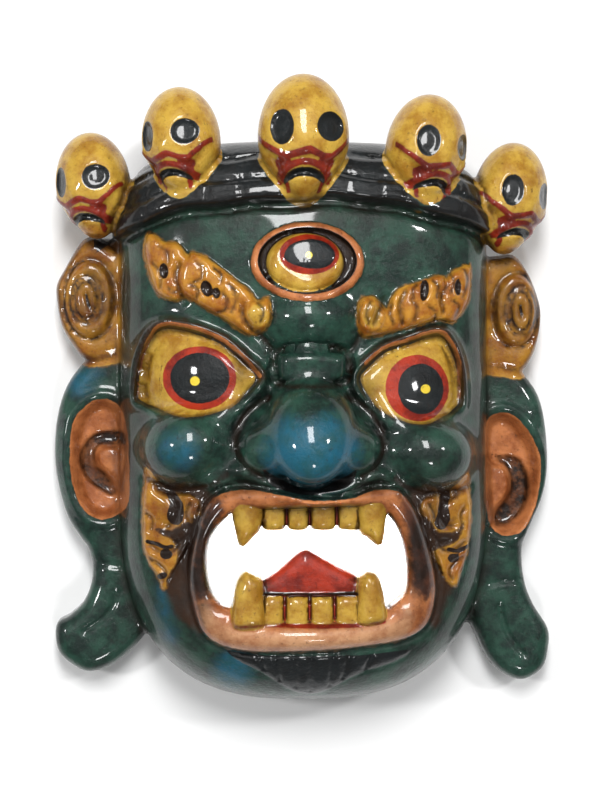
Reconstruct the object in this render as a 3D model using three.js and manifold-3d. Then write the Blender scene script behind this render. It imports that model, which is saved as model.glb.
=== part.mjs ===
// A carved wooden wall mask of a three-eyed wrathful guardian, lying on its flat back.
// X runs across the face, Y from the chin to the crown, Z out of the face. Millimetres.
// The whole mask is one block of wood: face, ears, ear discs, crown band and five skulls,
// hollowed from behind, with the open mouth cut right through.
import * as THREE from 'three';
import { mergeVertices } from 'three/addons/utils/BufferGeometryUtils.js';
import Module from 'manifold-3d';

const wasm = await Module();
wasm.setup();

// Driving dimensions
const HEIGHT = 292; // chin to the top of the middle skull
const WALL = 13; // wood left between the face and the hollow behind it
const SPREAD = 237.6; // across both ears
const EAR_THICKNESS = 22;
const DISC_THICKNESS = 27;

// The carving follows the height: its sizes are written for a mask this tall
const CARVED_AT = 292;
const share = HEIGHT / CARVED_AT;
const ofHeight = (form) => {
  if (typeof form === 'number') return form * share;
  if (Array.isArray(form)) return form.map(ofHeight);
  return Object.fromEntries(Object.entries(form).map(([name, size]) => [name, ofHeight(size)]));
};

// The head's outline: a squarish arch above, a rounder jaw below, straight sides between
const head = ofHeight({ halfWidth: 88, archFrom: 60, archRise: 54, jawFrom: -50, jawDrop: 99.3, height: 66 });
const ARCH_POWER = 3.8;
const JAW_POWER = 2.7;
const DOME_POWER = 4;
const SIDE_FALL = ofHeight(8); // how much the face falls back between its middle and its sides
const LIFT = ofHeight(3.3); // from the carving's own middle to the middle of its height

// Broad swells and hollows of the face: [x, y, half-width, half-height, rise]
const swells = ofHeight([
  [0, 56, 34, 24, 4],
  [0, 30, 24, 18, 9],
  [-50, 3, 26, 20, -7],
  [50, 3, 26, 20, -7],
  [0, -54, 46, 22, 9],
  [0, -114, 44, 13, 5],
  [-66, -72, 12, 26, -3],
  [66, -72, 12, 26, -3],
]);

// The crown band: three strips over the forehead, each stepped back from the one below
const band = ofHeight({ middle: 87, drop: 15, strip: 10.5, proud: 7, step: 1.6 });

// Skulls: [x, y, z, half-width, half-height, depth], and the turn outwards in degrees
const skulls = [
  { form: ofHeight([-2.6, 113.9, 68, 20.5, 28.8, 19]), turn: 0 },
  { form: ofHeight([-58, 112.6, 58, 18, 25, 17.5]), turn: -31 },
  { form: ofHeight([54.6, 109.2, 58, 18.6, 25.8, 17.5]), turn: 31 },
  { form: ofHeight([-99.5, 94.5, 34, 17.4, 25, 17]), turn: -31 },
  { form: ofHeight([97.5, 89.5, 34, 17.8, 26.6, 17]), turn: 31 },
];
const skull = { jaw: 0.36, eyeX: 0.56, eyeY: 0.16, eyeWidth: 0.29, eyeHeight: 0.27, eyeDepth: 0.16 };
const skullMouth = { y: -0.64, halfWidth: 0.34, halfHeight: 0.1, depth: 0.2 };

// One entry for each side of the face: it carries what the carver didn't match left and right
const sides = [
  { name: 'left', sign: -1, ...ofHeight({ earY: 1.5, discY: 44, eyeX: 50.3, eyeY: 2.2, browX: 24.3, fangX: 30.2 }), browTilt: 28 },
  { name: 'right', sign: 1, ...ofHeight({ earY: -2.5, discY: 37, eyeX: 51, eyeY: -0.4, browX: 26.8, fangX: 30.8 }), browTilt: 18 },
];

// Outlines on one side, outwards from the middle of the face
const ear = ofHeight([
  [80, 24], [96, 15], [105, 9], [112.5, -1], [117, -14], [118.8, -30], [117, -45], [112, -60], [106, -71],
  [103.4, -80], [103.8, -91], [107.5, -102], [114, -109.5], [118.5, -116], [118.5, -124], [115, -131.5],
  [107, -136.5], [98, -135.5], [90, -130], [82, -121.5], [75, -110], [72, -80], [76, -20],
]);
const earBowl = ofHeight([
  [109, -17], [103, -11.5], [96.5, -10.5], [90.5, -13], [86, -24], [85, -50], [88, -61], [94, -65],
  [100, -64], [107, -56], [111, -46], [112.2, -32],
]);
const tragus = ofHeight([[80, -31], [87, -27.5], [93, -28], [97, -31], [98, -36], [95, -43], [89, -49], [80, -52]]);
const disc = ofHeight({ x: 97, halfWidth: 20.4, halfHeight: 29, ringWidth: 3.4, ringDepth: 2.4 });
const brow = ofHeight([
  [-4.5, 4], [-0.5, 8], [4, 8.3], [8, 4.5], [10.5, 5.5], [12.3, 9.5], [17, 11.8], [25, 12.8], [33, 13],
  [39, 11.3], [42, 10], [45, 13], [52, 13.5], [59, 12.5], [60, 8], [56, 0], [51, -7.5], [45, -13],
  [38, -12.8], [29, -10.6], [17, -9.8], [7, -10], [0, -10], [-4, -6.5], [-5.5, -1],
]);
const browSeat = ofHeight({ y: 33.4, height: 4.6, rounding: 2.6 });
const eye = ofHeight([
  [-27, 3], [-21, -5], [-11, -13], [2, -15.3], [13, -14.5], [20.5, -8], [21, 2], [18, 14], [15.5, 22.8],
  [3, 20], [-8, 16.5], [-17, 11.5],
]);
const lid = ofHeight({ width: 5.6, height: 6.5, rounding: 2 });
const eyeball = ofHeight({ halfWidth: 21, halfHeight: 20, depth: 14, sink: 10 });
const whisker = ofHeight([
  [73, -36], [74.6, -50], [77, -62], [76, -71], [75.4, -81], [71.5, -88.5], [66, -84], [59, -75.5],
  [55, -66], [53, -54], [58, -48], [66, -46],
]);
const whiskerSeat = ofHeight({ height: 3.2, rounding: 2 });

// Forms on the middle line: [x, y, z, half-width, half-height, depth]
const noseForms = ofHeight([
  [0, -24, 74, 19, 19.5, 21],
  [0, -13, 66, 14.5, 14, 17],
  [-21.6, -27.4, 67, 13, 13, 15],
  [21.6, -28, 67, 13, 13, 15],
]);
const cheeks = ofHeight([
  [-54.5, -27.5, 55, 22.5, 18.5, 23.5],
  [55.5, -29.5, 55, 22, 18.5, 23.5],
]);
const bridge = ofHeight({ x: 1, y: 10, halfWidth: 17, halfHeight: 7.8, height: 9.5, rounding: 4 });
const thirdEye = ofHeight({ y: 58.5, halfWidth: 25.5, halfHeight: 18.3, rim: 3.8, height: 5, ball: 16.5, ballHeight: 12, ballDepth: 5.5 });

// The mouth
const lipOuter = ofHeight([
  [0, -49.5], [15, -47.8], [29.5, -44.7], [41, -46.3], [48.5, -53.5], [54, -68], [57.5, -84.5],
  [57, -98.5], [52, -110.4], [42.5, -117], [26, -120.5], [0, -121],
]);
const mouth = ofHeight([
  [0, -56], [14, -54.5], [28, -52.5], [38, -57], [43.5, -68], [46, -82], [44.5, -92], [41, -98],
  [35, -103], [26, -106], [0, -107],
]);
const lip = ofHeight({ height: 5.5, rounding: 2.8 });
const upperTeeth = ofHeight([[-17.2, 7.8], [-5.2, 7.6], [6.1, 8.6], [19.2, 7.4]]);
const lowerTeeth = ofHeight([[-16.8, 7.6], [-5.9, 8.8], [6.4, 8.6], [18.3, 9.8]]);
const toothRows = ofHeight({ upperTop: -50, upperEdge: -63.6, lowerEdge: -95.4, lowerFoot: -110, front: 66, back: 52 });
const upperFang = ofHeight([[-5.7, 4], [-5.6, -8], [-4, -16], [-1.8, -21], [1.2, -21], [3.4, -15], [5.4, -8], [5.6, 4]]);
const lowerFang = ofHeight([[-6, -12], [-6, 2], [-4.4, 9.5], [-1.8, 13.4], [2.2, 13], [5, 7], [6, -1], [6, -12]]);
const fangRows = ofHeight({ upperY: -50, lowerY: -97.5, lowerX: 29, front: 71, back: 52 });
const tongue = ofHeight([[-24, -110], [-21.5, -89], [-12, -83], [-1, -74.8], [11, -80.5], [23, -87], [25, -110]]);
const tongueFront = ofHeight(62);
const beard = ofHeight([[-36, -121], [-20, -133], [0, -143.5], [20, -133], [36, -121], [0, -118]]);
const beardSeat = ofHeight({ height: 3, rounding: 1.5 });

const SLIVER = 0.25; // edges shorter than this are closed up after joining
const BURIED = ofHeight(9); // how deep each raised form is rooted in the wood below it

const raisedTo = (base, rate, power) => Math.pow(Math.max(0, 1 - Math.pow(base / rate, power)), 1 / power);

// 0 in the middle of the head and 1 on its outline, for a head drawn in by `inset`
const reach = (x, y, inset) => {
  const above = y > head.archFrom;
  const power = above ? ARCH_POWER : JAW_POWER;
  const past = above ? y - head.archFrom : Math.max(0, head.jawFrom - y);
  const span = (above ? head.archRise : head.jawDrop) - inset;
  return Math.pow(Math.pow(Math.abs(x) / (head.halfWidth - inset), power) + Math.pow(past / span, power), 1 / power);
};

// Height of the plain dome of the head at a point, and of the face with its swells
const domeHeight = (x, y, inset = 0) => {
  const fall = SIDE_FALL * Math.pow(x / head.halfWidth, 2);
  return (head.height - inset - fall) * raisedTo(reach(x, y, inset), 1, DOME_POWER);
};
const faceHeight = (x, y) => {
  const rise = swells.reduce(
    (sum, [cx, cy, wide, high, up]) => sum + up * Math.exp(-Math.pow((x - cx) / wide, 2) - Math.pow((y - cy) / high, 2)),
    0,
  );
  const edge = reach(x, y, 0);
  return domeHeight(x, y) + rise * Math.max(0, 1 - Math.pow(edge, 6));
};

// A closed three.js geometry as a solid for cutting and joining
const solid = (geometry) => {
  const bare = geometry.clone();
  bare.deleteAttribute('normal');
  bare.deleteAttribute('uv');
  const merged = mergeVertices(bare, 1e-4);
  return new wasm.Manifold(
    new wasm.Mesh({
      numProp: 3,
      vertProperties: Float32Array.from(merged.attributes.position.array),
      triVerts: Uint32Array.from(merged.index.array),
    }),
  );
};

// Moves every point of a geometry to where `place` puts it
const reshaped = (geometry, place) => {
  const points = geometry.attributes.position;
  const point = new THREE.Vector3();
  for (let i = 0; i < points.count; i += 1) {
    place(point.fromBufferAttribute(points, i));
    points.setXYZ(i, point.x, point.y, point.z);
  }
  return geometry;
};

const DOME_STEPS = [0.16, 0.34, 0.52, 0.68, 0.8, 0.89, 0.95, 0.985, 1];
const SEGMENTS = 44;

// A dome on the head's outline, drawn in by `inset`, with its top from `heightAt` and its floor at `floor`
const headDome = (inset, heightAt, floor, segments = SEGMENTS) => {
  const profile = [new THREE.Vector2(0, 1)];
  DOME_STEPS.forEach((step) => profile.push(new THREE.Vector2(step, 1)));
  profile.push(new THREE.Vector2(1, 0), new THREE.Vector2(0, 0));
  const unit = new THREE.LatheGeometry(profile.reverse(), segments).rotateX(Math.PI / 2);
  const rimAt = (angle) => {
    let near = 0;
    let far = 2 * HEIGHT;
    while (far - near > 1e-6 * HEIGHT) {
      const middle = (near + far) / 2;
      if (reach(middle * Math.cos(angle), middle * Math.sin(angle), inset) < 1) near = middle;
      else far = middle;
    }
    return near;
  };
  return reshaped(unit, (p) => {
    const top = p.z > 0.5;
    const step = Math.hypot(p.x, p.y);
    const angle = Math.round((Math.atan2(p.y, p.x) / (2 * Math.PI)) * segments) * ((2 * Math.PI) / segments);
    const rim = step * rimAt(angle);
    p.set(rim * Math.cos(angle), rim * Math.sin(angle), floor);
    if (top && step < 0.9999) p.z = Math.max(heightAt(p.x, p.y), 0);
    else if (top) p.z = 0;
  });
};

// A closed smooth curve through a side's outline points
const smoothOutline = (points, count, tension = 0.5) => {
  const curve = new THREE.CatmullRomCurve3(points.map(([x, y]) => new THREE.Vector3(x, y, 0)), true, 'catmullrom', tension);
  return curve.getPoints(count).slice(0, -1).map((p) => new THREE.Vector2(p.x, p.y));
};
const mirrored = (half) => [...half, ...half.filter(([x]) => x > 0).map(([x, y]) => [-x, y]).reverse()];

// A rounded slab on an outline, rising `height` over whatever `ground` says lies below it
const raised = (outline, { height, rounding, buried = BURIED, bevels = 1 }, ground = faceHeight) => {
  const slab = new THREE.ExtrudeGeometry(new THREE.Shape(outline), {
    depth: height + buried - 2 * rounding,
    bevelThickness: rounding,
    bevelSize: rounding,
    bevelOffset: -rounding,
    bevelSegments: bevels,
    steps: 1,
  });
  return solid(reshaped(slab.translate(0, 0, rounding - buried), (p) => {
    p.z += ground(p.x, p.y);
  }));
};
const ball = ([x, y, z, wide, high, deep], around = 14, down = 8) =>
  solid(new THREE.SphereGeometry(1, around, down).rotateX(Math.PI / 2).scale(wide, high, deep).translate(x, y, z));

// The face and its crown band
const faceBlock = () => solid(headDome(0, faceHeight, 0));
const hollow = () => solid(headDome(WALL, (x, y) => domeHeight(x, y, WALL), -WALL, 36));
const crownBand = () => {
  const strips = [0, 1, 2].map((row) => {
    const proud = band.proud - row * band.step;
    const block = solid(headDome(-proud / 2, (x, y) => domeHeight(x, y, -proud), 0, 32));
    const from = (x) => band.middle + row * band.strip - band.drop * Math.pow(Math.abs(x) / head.halfWidth, 2.2);
    const edge = [];
    const steps = 8;
    for (let i = -steps; i <= steps; i += 1) {
      const x = (1.15 * head.halfWidth * i) / steps;
      edge.push(new THREE.Vector2(x, from(x)));
    }
    edge.push(new THREE.Vector2(1.15 * head.halfWidth, HEIGHT), new THREE.Vector2(-1.15 * head.halfWidth, HEIGHT));
    const above = new THREE.ExtrudeGeometry(new THREE.Shape(edge), { depth: HEIGHT, bevelEnabled: false, steps: 1 });
    return block.intersect(solid(above));
  });
  return strips.reduce((whole, strip) => whole.add(strip));
};

// A skull: an egg with a narrow jaw, two eye sockets and a gaping mouth
const carvedSkull = ({ form: [x, y, z, wide, high, deep], turn }) => {
  const egg = reshaped(new THREE.SphereGeometry(1, 16, 8).rotateX(Math.PI / 2), (p) => {
    const down = Math.max(0, -p.y - 0.1);
    p.x *= 1 - skull.jaw * down * down * 0.9;
    p.z *= 1 - skull.jaw * down * down * 0.5;
  }).scale(wide, high, deep);
  let body = solid(egg);
  [-1, 1].forEach((sign) => {
    const at = [sign * skull.eyeX * wide, skull.eyeY * high, deep * Math.sqrt(1 - skull.eyeX ** 2 - skull.eyeY ** 2)];
    const socket = ball([...at, skull.eyeWidth * wide, skull.eyeHeight * high, skull.eyeDepth * deep], 9, 5);
    body = body.subtract(socket);
  });
  const gape = ball(
    [0, skullMouth.y * high, deep * 0.68, skullMouth.halfWidth * wide, skullMouth.halfHeight * high, skullMouth.depth * deep],
    9, 5,
  );
  return body.subtract(gape).rotate([0, turn, 0]).translate([x, y, z]);
};

// An ear with its long lobe, seen from the front as a flap on the side of the head
const carvedEar = ({ sign, earY }) => {
  const flat = () => 0;
  const outwards = (points, count) => smoothOutline(points.map(([x, y]) => [sign * x * (SPREAD / ofHeight(237.6)), y + earY]), count);
  const bowlFloor = EAR_THICKNESS * 0.72;
  const flap = raised(outwards(ear, 36), { height: EAR_THICKNESS, rounding: ofHeight(3.2), buried: 0 }, flat);
  const bowl = raised(outwards(earBowl, 18), { height: EAR_THICKNESS, rounding: ofHeight(1.5), buried: -bowlFloor }, flat);
  const knob = raised(outwards(tragus, 12), { height: EAR_THICKNESS * 0.93, rounding: ofHeight(1), buried: -ofHeight(8) }, flat);
  return flap.subtract(bowl).add(knob);
};

// An ear disc: an oval boss with ring grooves round its middle
const carvedDisc = ({ sign, discY }) => {
  const at = (radius) => [new THREE.Vector2(radius, 0)];
  const profile = [new THREE.Vector2(0, 0), ...at(1)];
  profile.push(new THREE.Vector2(1, 0.62), new THREE.Vector2(0.95, 0.76), new THREE.Vector2(0.78, 0.86));
  [0.7, 0.42].forEach((ring) => {
    profile.push(new THREE.Vector2(ring, 0.9), new THREE.Vector2(ring - 0.06, 0.9 - disc.ringDepth / DISC_THICKNESS));
    profile.push(new THREE.Vector2(ring - 0.12, 0.94));
  });
  profile.push(new THREE.Vector2(0, 1));
  const boss = new THREE.LatheGeometry(profile, 20).rotateX(Math.PI / 2);
  boss.scale(disc.halfWidth, disc.halfHeight, DISC_THICKNESS).translate(sign * disc.x, discY, 0);
  return solid(boss);
};

const placedOutline = (points, count, x, y, sign, tilt = 0) => {
  const turn = THREE.MathUtils.degToRad(tilt);
  return smoothOutline(points, count).map((p) => {
    p.rotateAround(new THREE.Vector2(0, 0), turn);
    return new THREE.Vector2(x + sign * p.x, y + p.y);
  });
};

// An outline moved outwards by the same width all round
const grown = (outline, width) => {
  const way = THREE.ShapeUtils.isClockWise(outline) ? -1 : 1;
  return outline.map((p, i) => {
    const before = outline[(i + outline.length - 1) % outline.length];
    const along = outline[(i + 1) % outline.length].clone().sub(before).normalize();
    return new THREE.Vector2(p.x + way * width * along.y, p.y - way * width * along.x);
  });
};

const carvedBrow = ({ sign, browX, browTilt }) =>
  raised(placedOutline(brow, 32, sign * browX, browSeat.y, sign, browTilt), browSeat);

const carvedEye = ({ sign, eyeX, eyeY }) => {
  const opening = placedOutline(eye, 20, sign * eyeX, eyeY, sign);
  const gap = raised(opening, { height: 3 * lid.height, rounding: lid.rounding, buried: lid.height });
  const lids = raised(grown(opening, lid.width), lid).subtract(gap);
  const centre = faceHeight(sign * eyeX, eyeY) - eyeball.sink;
  const globe = ball([sign * eyeX, eyeY + ofHeight(1), centre, eyeball.halfWidth, eyeball.halfHeight, eyeball.depth + ofHeight(3)], 16, 10);
  return lids.add(globe);
};

const carvedWhisker = ({ sign }) =>
  raised(placedOutline(whisker, 18, 0, 0, sign), whiskerSeat);

const carvedThirdEye = () => {
  const oval = (wide, high) => new THREE.EllipseCurve(0, thirdEye.y, wide, high).getPoints(22).slice(0, -1);
  const inner = oval(thirdEye.halfWidth - thirdEye.rim, thirdEye.halfHeight - thirdEye.rim);
  const gap = raised(inner, { height: 2 * thirdEye.height, rounding: ofHeight(1), buried: ofHeight(-0.5) });
  const rim = raised(oval(thirdEye.halfWidth, thirdEye.halfHeight), { height: thirdEye.height, rounding: ofHeight(1.6) })
    .subtract(gap);
  const top = faceHeight(0, thirdEye.y);
  return rim.add(ball([0, thirdEye.y, top, thirdEye.ball, thirdEye.ballHeight, thirdEye.ballDepth], 16, 6));
};

const carvedBridge = () => {
  const corner = (t) => Math.sign(t) * Math.pow(Math.abs(t), 0.55);
  const outline = [];
  for (let i = 0; i < 20; i += 1) {
    const angle = (i / 20) * 2 * Math.PI;
    outline.push(new THREE.Vector2(
      bridge.x + bridge.halfWidth * corner(Math.cos(angle)), bridge.y + bridge.halfHeight * corner(Math.sin(angle)),
    ));
  }
  return raised(outline, bridge);
};

// Teeth, fangs and tongue stand in the open mouth, rooted behind the lips
const slabBetween = (outline, front, back, rounding) =>
  raised(outline, { height: front, rounding, buried: -back }, () => 0);
const tooth = ([x, width], top, foot) => {
  const half = width / 2;
  const outline = [[-half, foot], [half, foot], [half, top], [-half, top]].map(([dx, y]) => new THREE.Vector2(x + dx, y));
  return slabBetween(outline, toothRows.front, toothRows.back, ofHeight(1.4));
};
const teeth = () => [
  ...upperTeeth.map((one) => tooth(one, toothRows.upperTop, toothRows.upperEdge)),
  ...lowerTeeth.map((one) => tooth(one, toothRows.lowerEdge, toothRows.lowerFoot)),
];
const fangs = ({ sign, fangX }) => {
  const upper = placedOutline(upperFang, 12, sign * fangX, fangRows.upperY, sign);
  const lower = placedOutline(lowerFang, 12, sign * fangRows.lowerX, fangRows.lowerY, sign);
  return [upper, lower].map((outline) => slabBetween(outline, fangRows.front, fangRows.back, ofHeight(1)));
};
// Gums close the gaps behind the teeth
const gums = () => [
  [toothRows.upperTop, toothRows.upperEdge + ofHeight(1.2)],
  [toothRows.lowerEdge - ofHeight(1.2), toothRows.lowerFoot],
].map(([top, foot]) => {
  const half = ofHeight(26);
  const outline = [[-half, foot], [half, foot], [half, top], [-half, top]].map(([x, y]) => new THREE.Vector2(x, y));
  return slabBetween(outline, toothRows.front - ofHeight(3), toothRows.back - ofHeight(1), ofHeight(0.8));
});

const mouthCut = () => {
  const gap = new THREE.Shape(smoothOutline(mirrored(mouth), 30));
  const through = new THREE.ExtrudeGeometry(gap, { depth: 2 * HEIGHT, bevelEnabled: false, steps: 1 });
  return solid(through.translate(0, 0, -HEIGHT));
};
const lips = () => raised(smoothOutline(mirrored(lipOuter), 34), lip);

const carveMask = () => {
  let block = [faceBlock(), crownBand(), lips(), carvedBridge(), carvedThirdEye()]
    .concat(sides.map(carvedBrow), sides.map(carvedEye), sides.map(carvedWhisker))
    .concat([...noseForms, ...cheeks].map((form) => ball(form)))
    .concat([raised(smoothOutline(beard, 18, 0.2), beardSeat)])
    .reduce((whole, form) => whole.add(form));
  block = block.subtract(hollow()).subtract(mouthCut());
  const mouthForms = [...teeth(), ...gums(), ...sides.flatMap(fangs)];
  mouthForms.push(slabBetween(smoothOutline(tongue, 18, 0.3), tongueFront, toothRows.back, ofHeight(2.5)));
  const outside = sides.flatMap((side) => [carvedEar(side), carvedDisc(side)]).concat(skulls.map(carvedSkull));
  const around = outside.reduce((whole, form) => whole.add(form)).subtract(hollow());
  return mouthForms.reduce((whole, form) => whole.add(form), block.add(around));
};

const meshFrom = (body) => {
  const { vertProperties, triVerts } = body.simplify(SLIVER).translate([0, LIFT, 0]).getMesh();
  const geometry = new THREE.BufferGeometry();
  geometry.setAttribute('position', new THREE.BufferAttribute(vertProperties, 3));
  geometry.setIndex(new THREE.BufferAttribute(triVerts, 1));
  geometry.computeVertexNormals();
  const painted = new THREE.MeshStandardMaterial({ color: 0x24403a, roughness: 0.28, metalness: 0 });
  const mesh = new THREE.Mesh(geometry, painted);
  mesh.name = 'mask';
  return mesh;
};

const group = new THREE.Group();
group.add(meshFrom(carveMask()));
export default group;
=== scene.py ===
"""A carved and painted wooden guardian mask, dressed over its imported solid.

The solid's own surface is copied, remeshed finely and drawn onto a carved form, which is worked out as
a distance in millimetres from every point to the wood. The paint is kept as distances too, one to each
colour's edge, so that the material can paint every edge with a brush's wobble.
"""
from __future__ import annotations

import logging
import math
from dataclasses import dataclass, field
from enum import Enum
from typing import Sequence

import bmesh
import bpy
import numpy as np
from mathutils import Matrix, Vector

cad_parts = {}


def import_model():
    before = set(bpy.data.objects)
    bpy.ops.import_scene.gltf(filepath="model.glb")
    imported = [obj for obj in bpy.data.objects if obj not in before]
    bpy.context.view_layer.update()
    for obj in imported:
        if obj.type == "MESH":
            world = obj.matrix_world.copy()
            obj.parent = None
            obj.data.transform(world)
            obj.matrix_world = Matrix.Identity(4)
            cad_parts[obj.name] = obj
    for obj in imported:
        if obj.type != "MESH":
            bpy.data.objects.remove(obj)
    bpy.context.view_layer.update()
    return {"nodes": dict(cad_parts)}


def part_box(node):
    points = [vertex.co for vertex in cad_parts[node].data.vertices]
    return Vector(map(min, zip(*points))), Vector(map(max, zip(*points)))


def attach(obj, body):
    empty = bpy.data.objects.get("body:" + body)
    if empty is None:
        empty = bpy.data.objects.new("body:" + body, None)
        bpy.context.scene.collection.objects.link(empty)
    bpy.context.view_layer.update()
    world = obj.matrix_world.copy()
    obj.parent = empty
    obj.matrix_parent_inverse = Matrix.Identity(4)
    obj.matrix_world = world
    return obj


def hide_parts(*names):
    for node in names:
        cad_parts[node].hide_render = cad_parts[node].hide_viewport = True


LOG = logging.getLogger("mask")
Array = np.ndarray
Point = tuple[float, float]
Path = Sequence[Point]

FAR = 40.0  # the most that a distance to the head is given as
OUTSIDE = -12.0  # a painted edge that is nowhere near
CARVED_HEIGHT = 292.0
LIFT = np.array((0.0, 3.3, 0.0))  # from the carving's own middle to the middle of its height


def soft_min(a: Array, b: Array, k: float) -> Array:
    """Join two forms with a fillet of about k millimetres."""
    h = np.clip(0.5 + 0.5 * (b - a) / k, 0.0, 1.0)
    return b + (a - b) * h - k * h * (1.0 - h)


def soft_max(a: Array, b: Array, k: float) -> Array:
    """Keep what two forms share, with an edge rounded by about k millimetres."""
    return -soft_min(-a, -b, k)


def ramp(value: Array, low: float, high: float) -> Array:
    """Rise smoothly from 0 at low to 1 at high."""
    t = np.clip((value - low) / (high - low), 0.0, 1.0)
    return t * t * (3.0 - 2.0 * t)


def quarter(value: Array, width: float) -> Array:
    """Rise like the quarter of a round from 0 at the edge to 1 at the width."""
    t = 1.0 - np.clip(value / width, 0.0, 1.0)
    return np.sqrt(1.0 - t * t)


def bell(value: Array, width: float) -> Array:
    """Rise to 1 where the value is 0, and fall to nothing beyond the width."""
    return np.exp(-(value / width) ** 2)


def turned(u: Array, v: Array, degrees: float) -> tuple[Array, Array]:
    """Turn two directions by some degrees."""
    c, s = math.cos(math.radians(degrees)), math.sin(math.radians(degrees))
    return u * c + v * s, v * c - u * s


def oval_reach(u: Array, v: Array, middle: Point, half: Point) -> Array:
    """Give 0 in the middle of an ellipse and 1 on its edge."""
    return np.sqrt(((u - middle[0]) / half[0]) ** 2 + ((v - middle[1]) / half[1]) ** 2)


@dataclass(frozen=True)
class Sight:
    """The camera's place, and the way from a point of the picture to a point of the mask.

    Lengths are in millimetres, and picture points are pixels of the 600 by 800 frame.
    """

    eye: tuple[float, float, float] = (-56.6, 0.0, 1100.0)
    aim: tuple[float, float, float] = (-1.7, -6.5, 20.0)
    scale: float = 0.4785
    middle: Point = (300.0, 400.0)

    def focal(self) -> float:
        """Give the focal length in pixels."""
        return math.dist(self.eye, self.aim) / self.scale

    def turned(self) -> tuple[Vector, Vector, Vector]:
        """Give the camera's right, up and forward directions."""
        forward = (Vector(self.aim) - Vector(self.eye)).normalized()
        right = forward.cross(Vector((0.0, 1.0, 0.0))).normalized()
        return right, right.cross(forward), forward

    def at(self, point: Point, height: float) -> Point:
        """Find the point of the mask at a height that a picture point shows."""
        right, up, forward = self.turned()
        across = (point[0] - self.middle[0]) / self.focal()
        rise = (self.middle[1] - point[1]) / self.focal()
        ray = forward + right * across + up * rise
        far = (height - self.eye[2]) / ray.z
        return self.eye[0] + far * ray.x, self.eye[1] + far * ray.y

    def trace(self, path: Path, height: float) -> tuple[Point, ...]:
        """Turn a traced line of the picture into a line on the mask at a height."""
        return tuple(self.at(point, height) for point in path)


SIGHT = Sight()


def px(height: float, *numbers: float) -> tuple[Point, ...]:
    """Read picture points, given as x and y in turn, at a height on the mask."""
    return SIGHT.trace(list(zip(numbers[0::2], numbers[1::2])), height)


def smooth_loop(points: Path, per: int = 4) -> Array:
    """Round a closed outline with a curve that runs through its points."""
    pts = np.asarray(points, float)
    before, after, beyond = np.roll(pts, 1, 0), np.roll(pts, -1, 0), np.roll(pts, -2, 0)
    steps = []
    for step in range(per):
        t = step / per
        steps.append(
            0.5 * (2 * pts + (after - before) * t + (2 * before - 5 * pts + 4 * after - beyond) * t * t
                   + (3 * pts - before - 3 * after + beyond) * t ** 3))
    return np.stack(steps, 1).reshape(-1, 2)


def smooth_line(points: Path, per: int = 5) -> Array:
    """Round an open line with a curve that runs through its points."""
    pts = np.asarray(points, float)
    if len(pts) < 3:
        return pts
    padded = np.vstack([2 * pts[0] - pts[1], pts, 2 * pts[-1] - pts[-2]])
    out = []
    for i in range(1, len(padded) - 2):
        a, b, c, d = padded[i - 1:i + 3]
        for step in range(per):
            t = step / per
            out.append(0.5 * (2 * b + (c - a) * t + (2 * a - 5 * b + 4 * c - d) * t * t
                              + (3 * b - a - 3 * c + d) * t ** 3))
    out.append(pts[-1])
    return np.asarray(out)


def edge_distance(x: Array, y: Array, line: Array, closed: bool) -> Array:
    """Measure how far points are from a line.

    Args:
        x, y: the points.
        line: the line's own points.
        closed: whether the last point joins the first.

    Returns:
        The distance of every point.
    """
    best = np.full(x.shape, 1e12)
    ends = np.roll(line, -1, 0) if closed else line[1:]
    for (ax, ay), (bx, by) in zip(line, ends):
        dx, dy = bx - ax, by - ay
        t = np.clip(((x - ax) * dx + (y - ay) * dy) / (dx * dx + dy * dy + 1e-12), 0.0, 1.0)
        best = np.minimum(best, (x - ax - t * dx) ** 2 + (y - ay - t * dy) ** 2)
    return np.sqrt(best)


class Shape:
    """A flat form on the face, measured inwards from its edge."""

    margin: float = 12.0

    def limits(self) -> tuple[float, float, float, float]:
        """Give the lowest and highest x and y of the form."""
        raise NotImplementedError

    def measure(self, x: Array, y: Array) -> Array:
        """Measure how far inside the form points lie, less than 0 outside."""
        raise NotImplementedError

    def inside(self, x: Array, y: Array) -> Array:
        """Measure only the points near the form, and call the rest far outside."""
        low_x, low_y, high_x, high_y = self.limits()
        m = self.margin
        near = (x > low_x - m) & (x < high_x + m) & (y > low_y - m) & (y < high_y + m)
        out = np.full(x.shape, -m)
        if near.any():
            out[near] = np.clip(self.measure(x[near], y[near]), -m, None)
        return out


@dataclass(frozen=True)
class Drawn(Shape):
    """A form that is drawn through points."""

    points: Path

    def limits(self) -> tuple[float, float, float, float]:
        """Give the lowest and highest x and y of the form."""
        pts = np.asarray(self.points)
        return (*pts.min(0), *pts.max(0))


@dataclass(frozen=True)
class Outline(Drawn):
    """A closed form drawn through points."""

    per: int = 4

    def measure(self, x: Array, y: Array) -> Array:
        """Measure how far inside the form points lie, less than 0 outside."""
        line = smooth_loop(self.points, self.per) if self.per > 1 else np.asarray(self.points, float)
        within = np.zeros(x.shape, bool)
        for (ax, ay), (bx, by) in zip(line, np.roll(line, -1, 0)):
            crosses = (ay > y) != (by > y)
            within ^= crosses & (x < (bx - ax) * (y - ay) / (by - ay + 1e-12) + ax)
        away = edge_distance(x, y, line, True)
        return np.where(within, away, -away)


@dataclass(frozen=True)
class Oval(Shape):
    """An ellipse, turned by some degrees."""

    x: float
    y: float
    wide: float
    high: float
    turn: float = 0.0

    def limits(self) -> tuple[float, float, float, float]:
        """Give the lowest and highest x and y of the form."""
        r = max(self.wide, self.high)
        return self.x - r, self.y - r, self.x + r, self.y + r

    def measure(self, x: Array, y: Array) -> Array:
        """Measure how far inside the form points lie, less than 0 outside."""
        u, v = turned(x - self.x, y - self.y, self.turn)
        r = np.sqrt((u / self.wide) ** 2 + (v / self.high) ** 2) + 1e-6
        slope = np.sqrt((u / self.wide ** 2) ** 2 + (v / self.high ** 2) ** 2) / r + 1e-6
        return (1.0 - r) / slope


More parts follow.
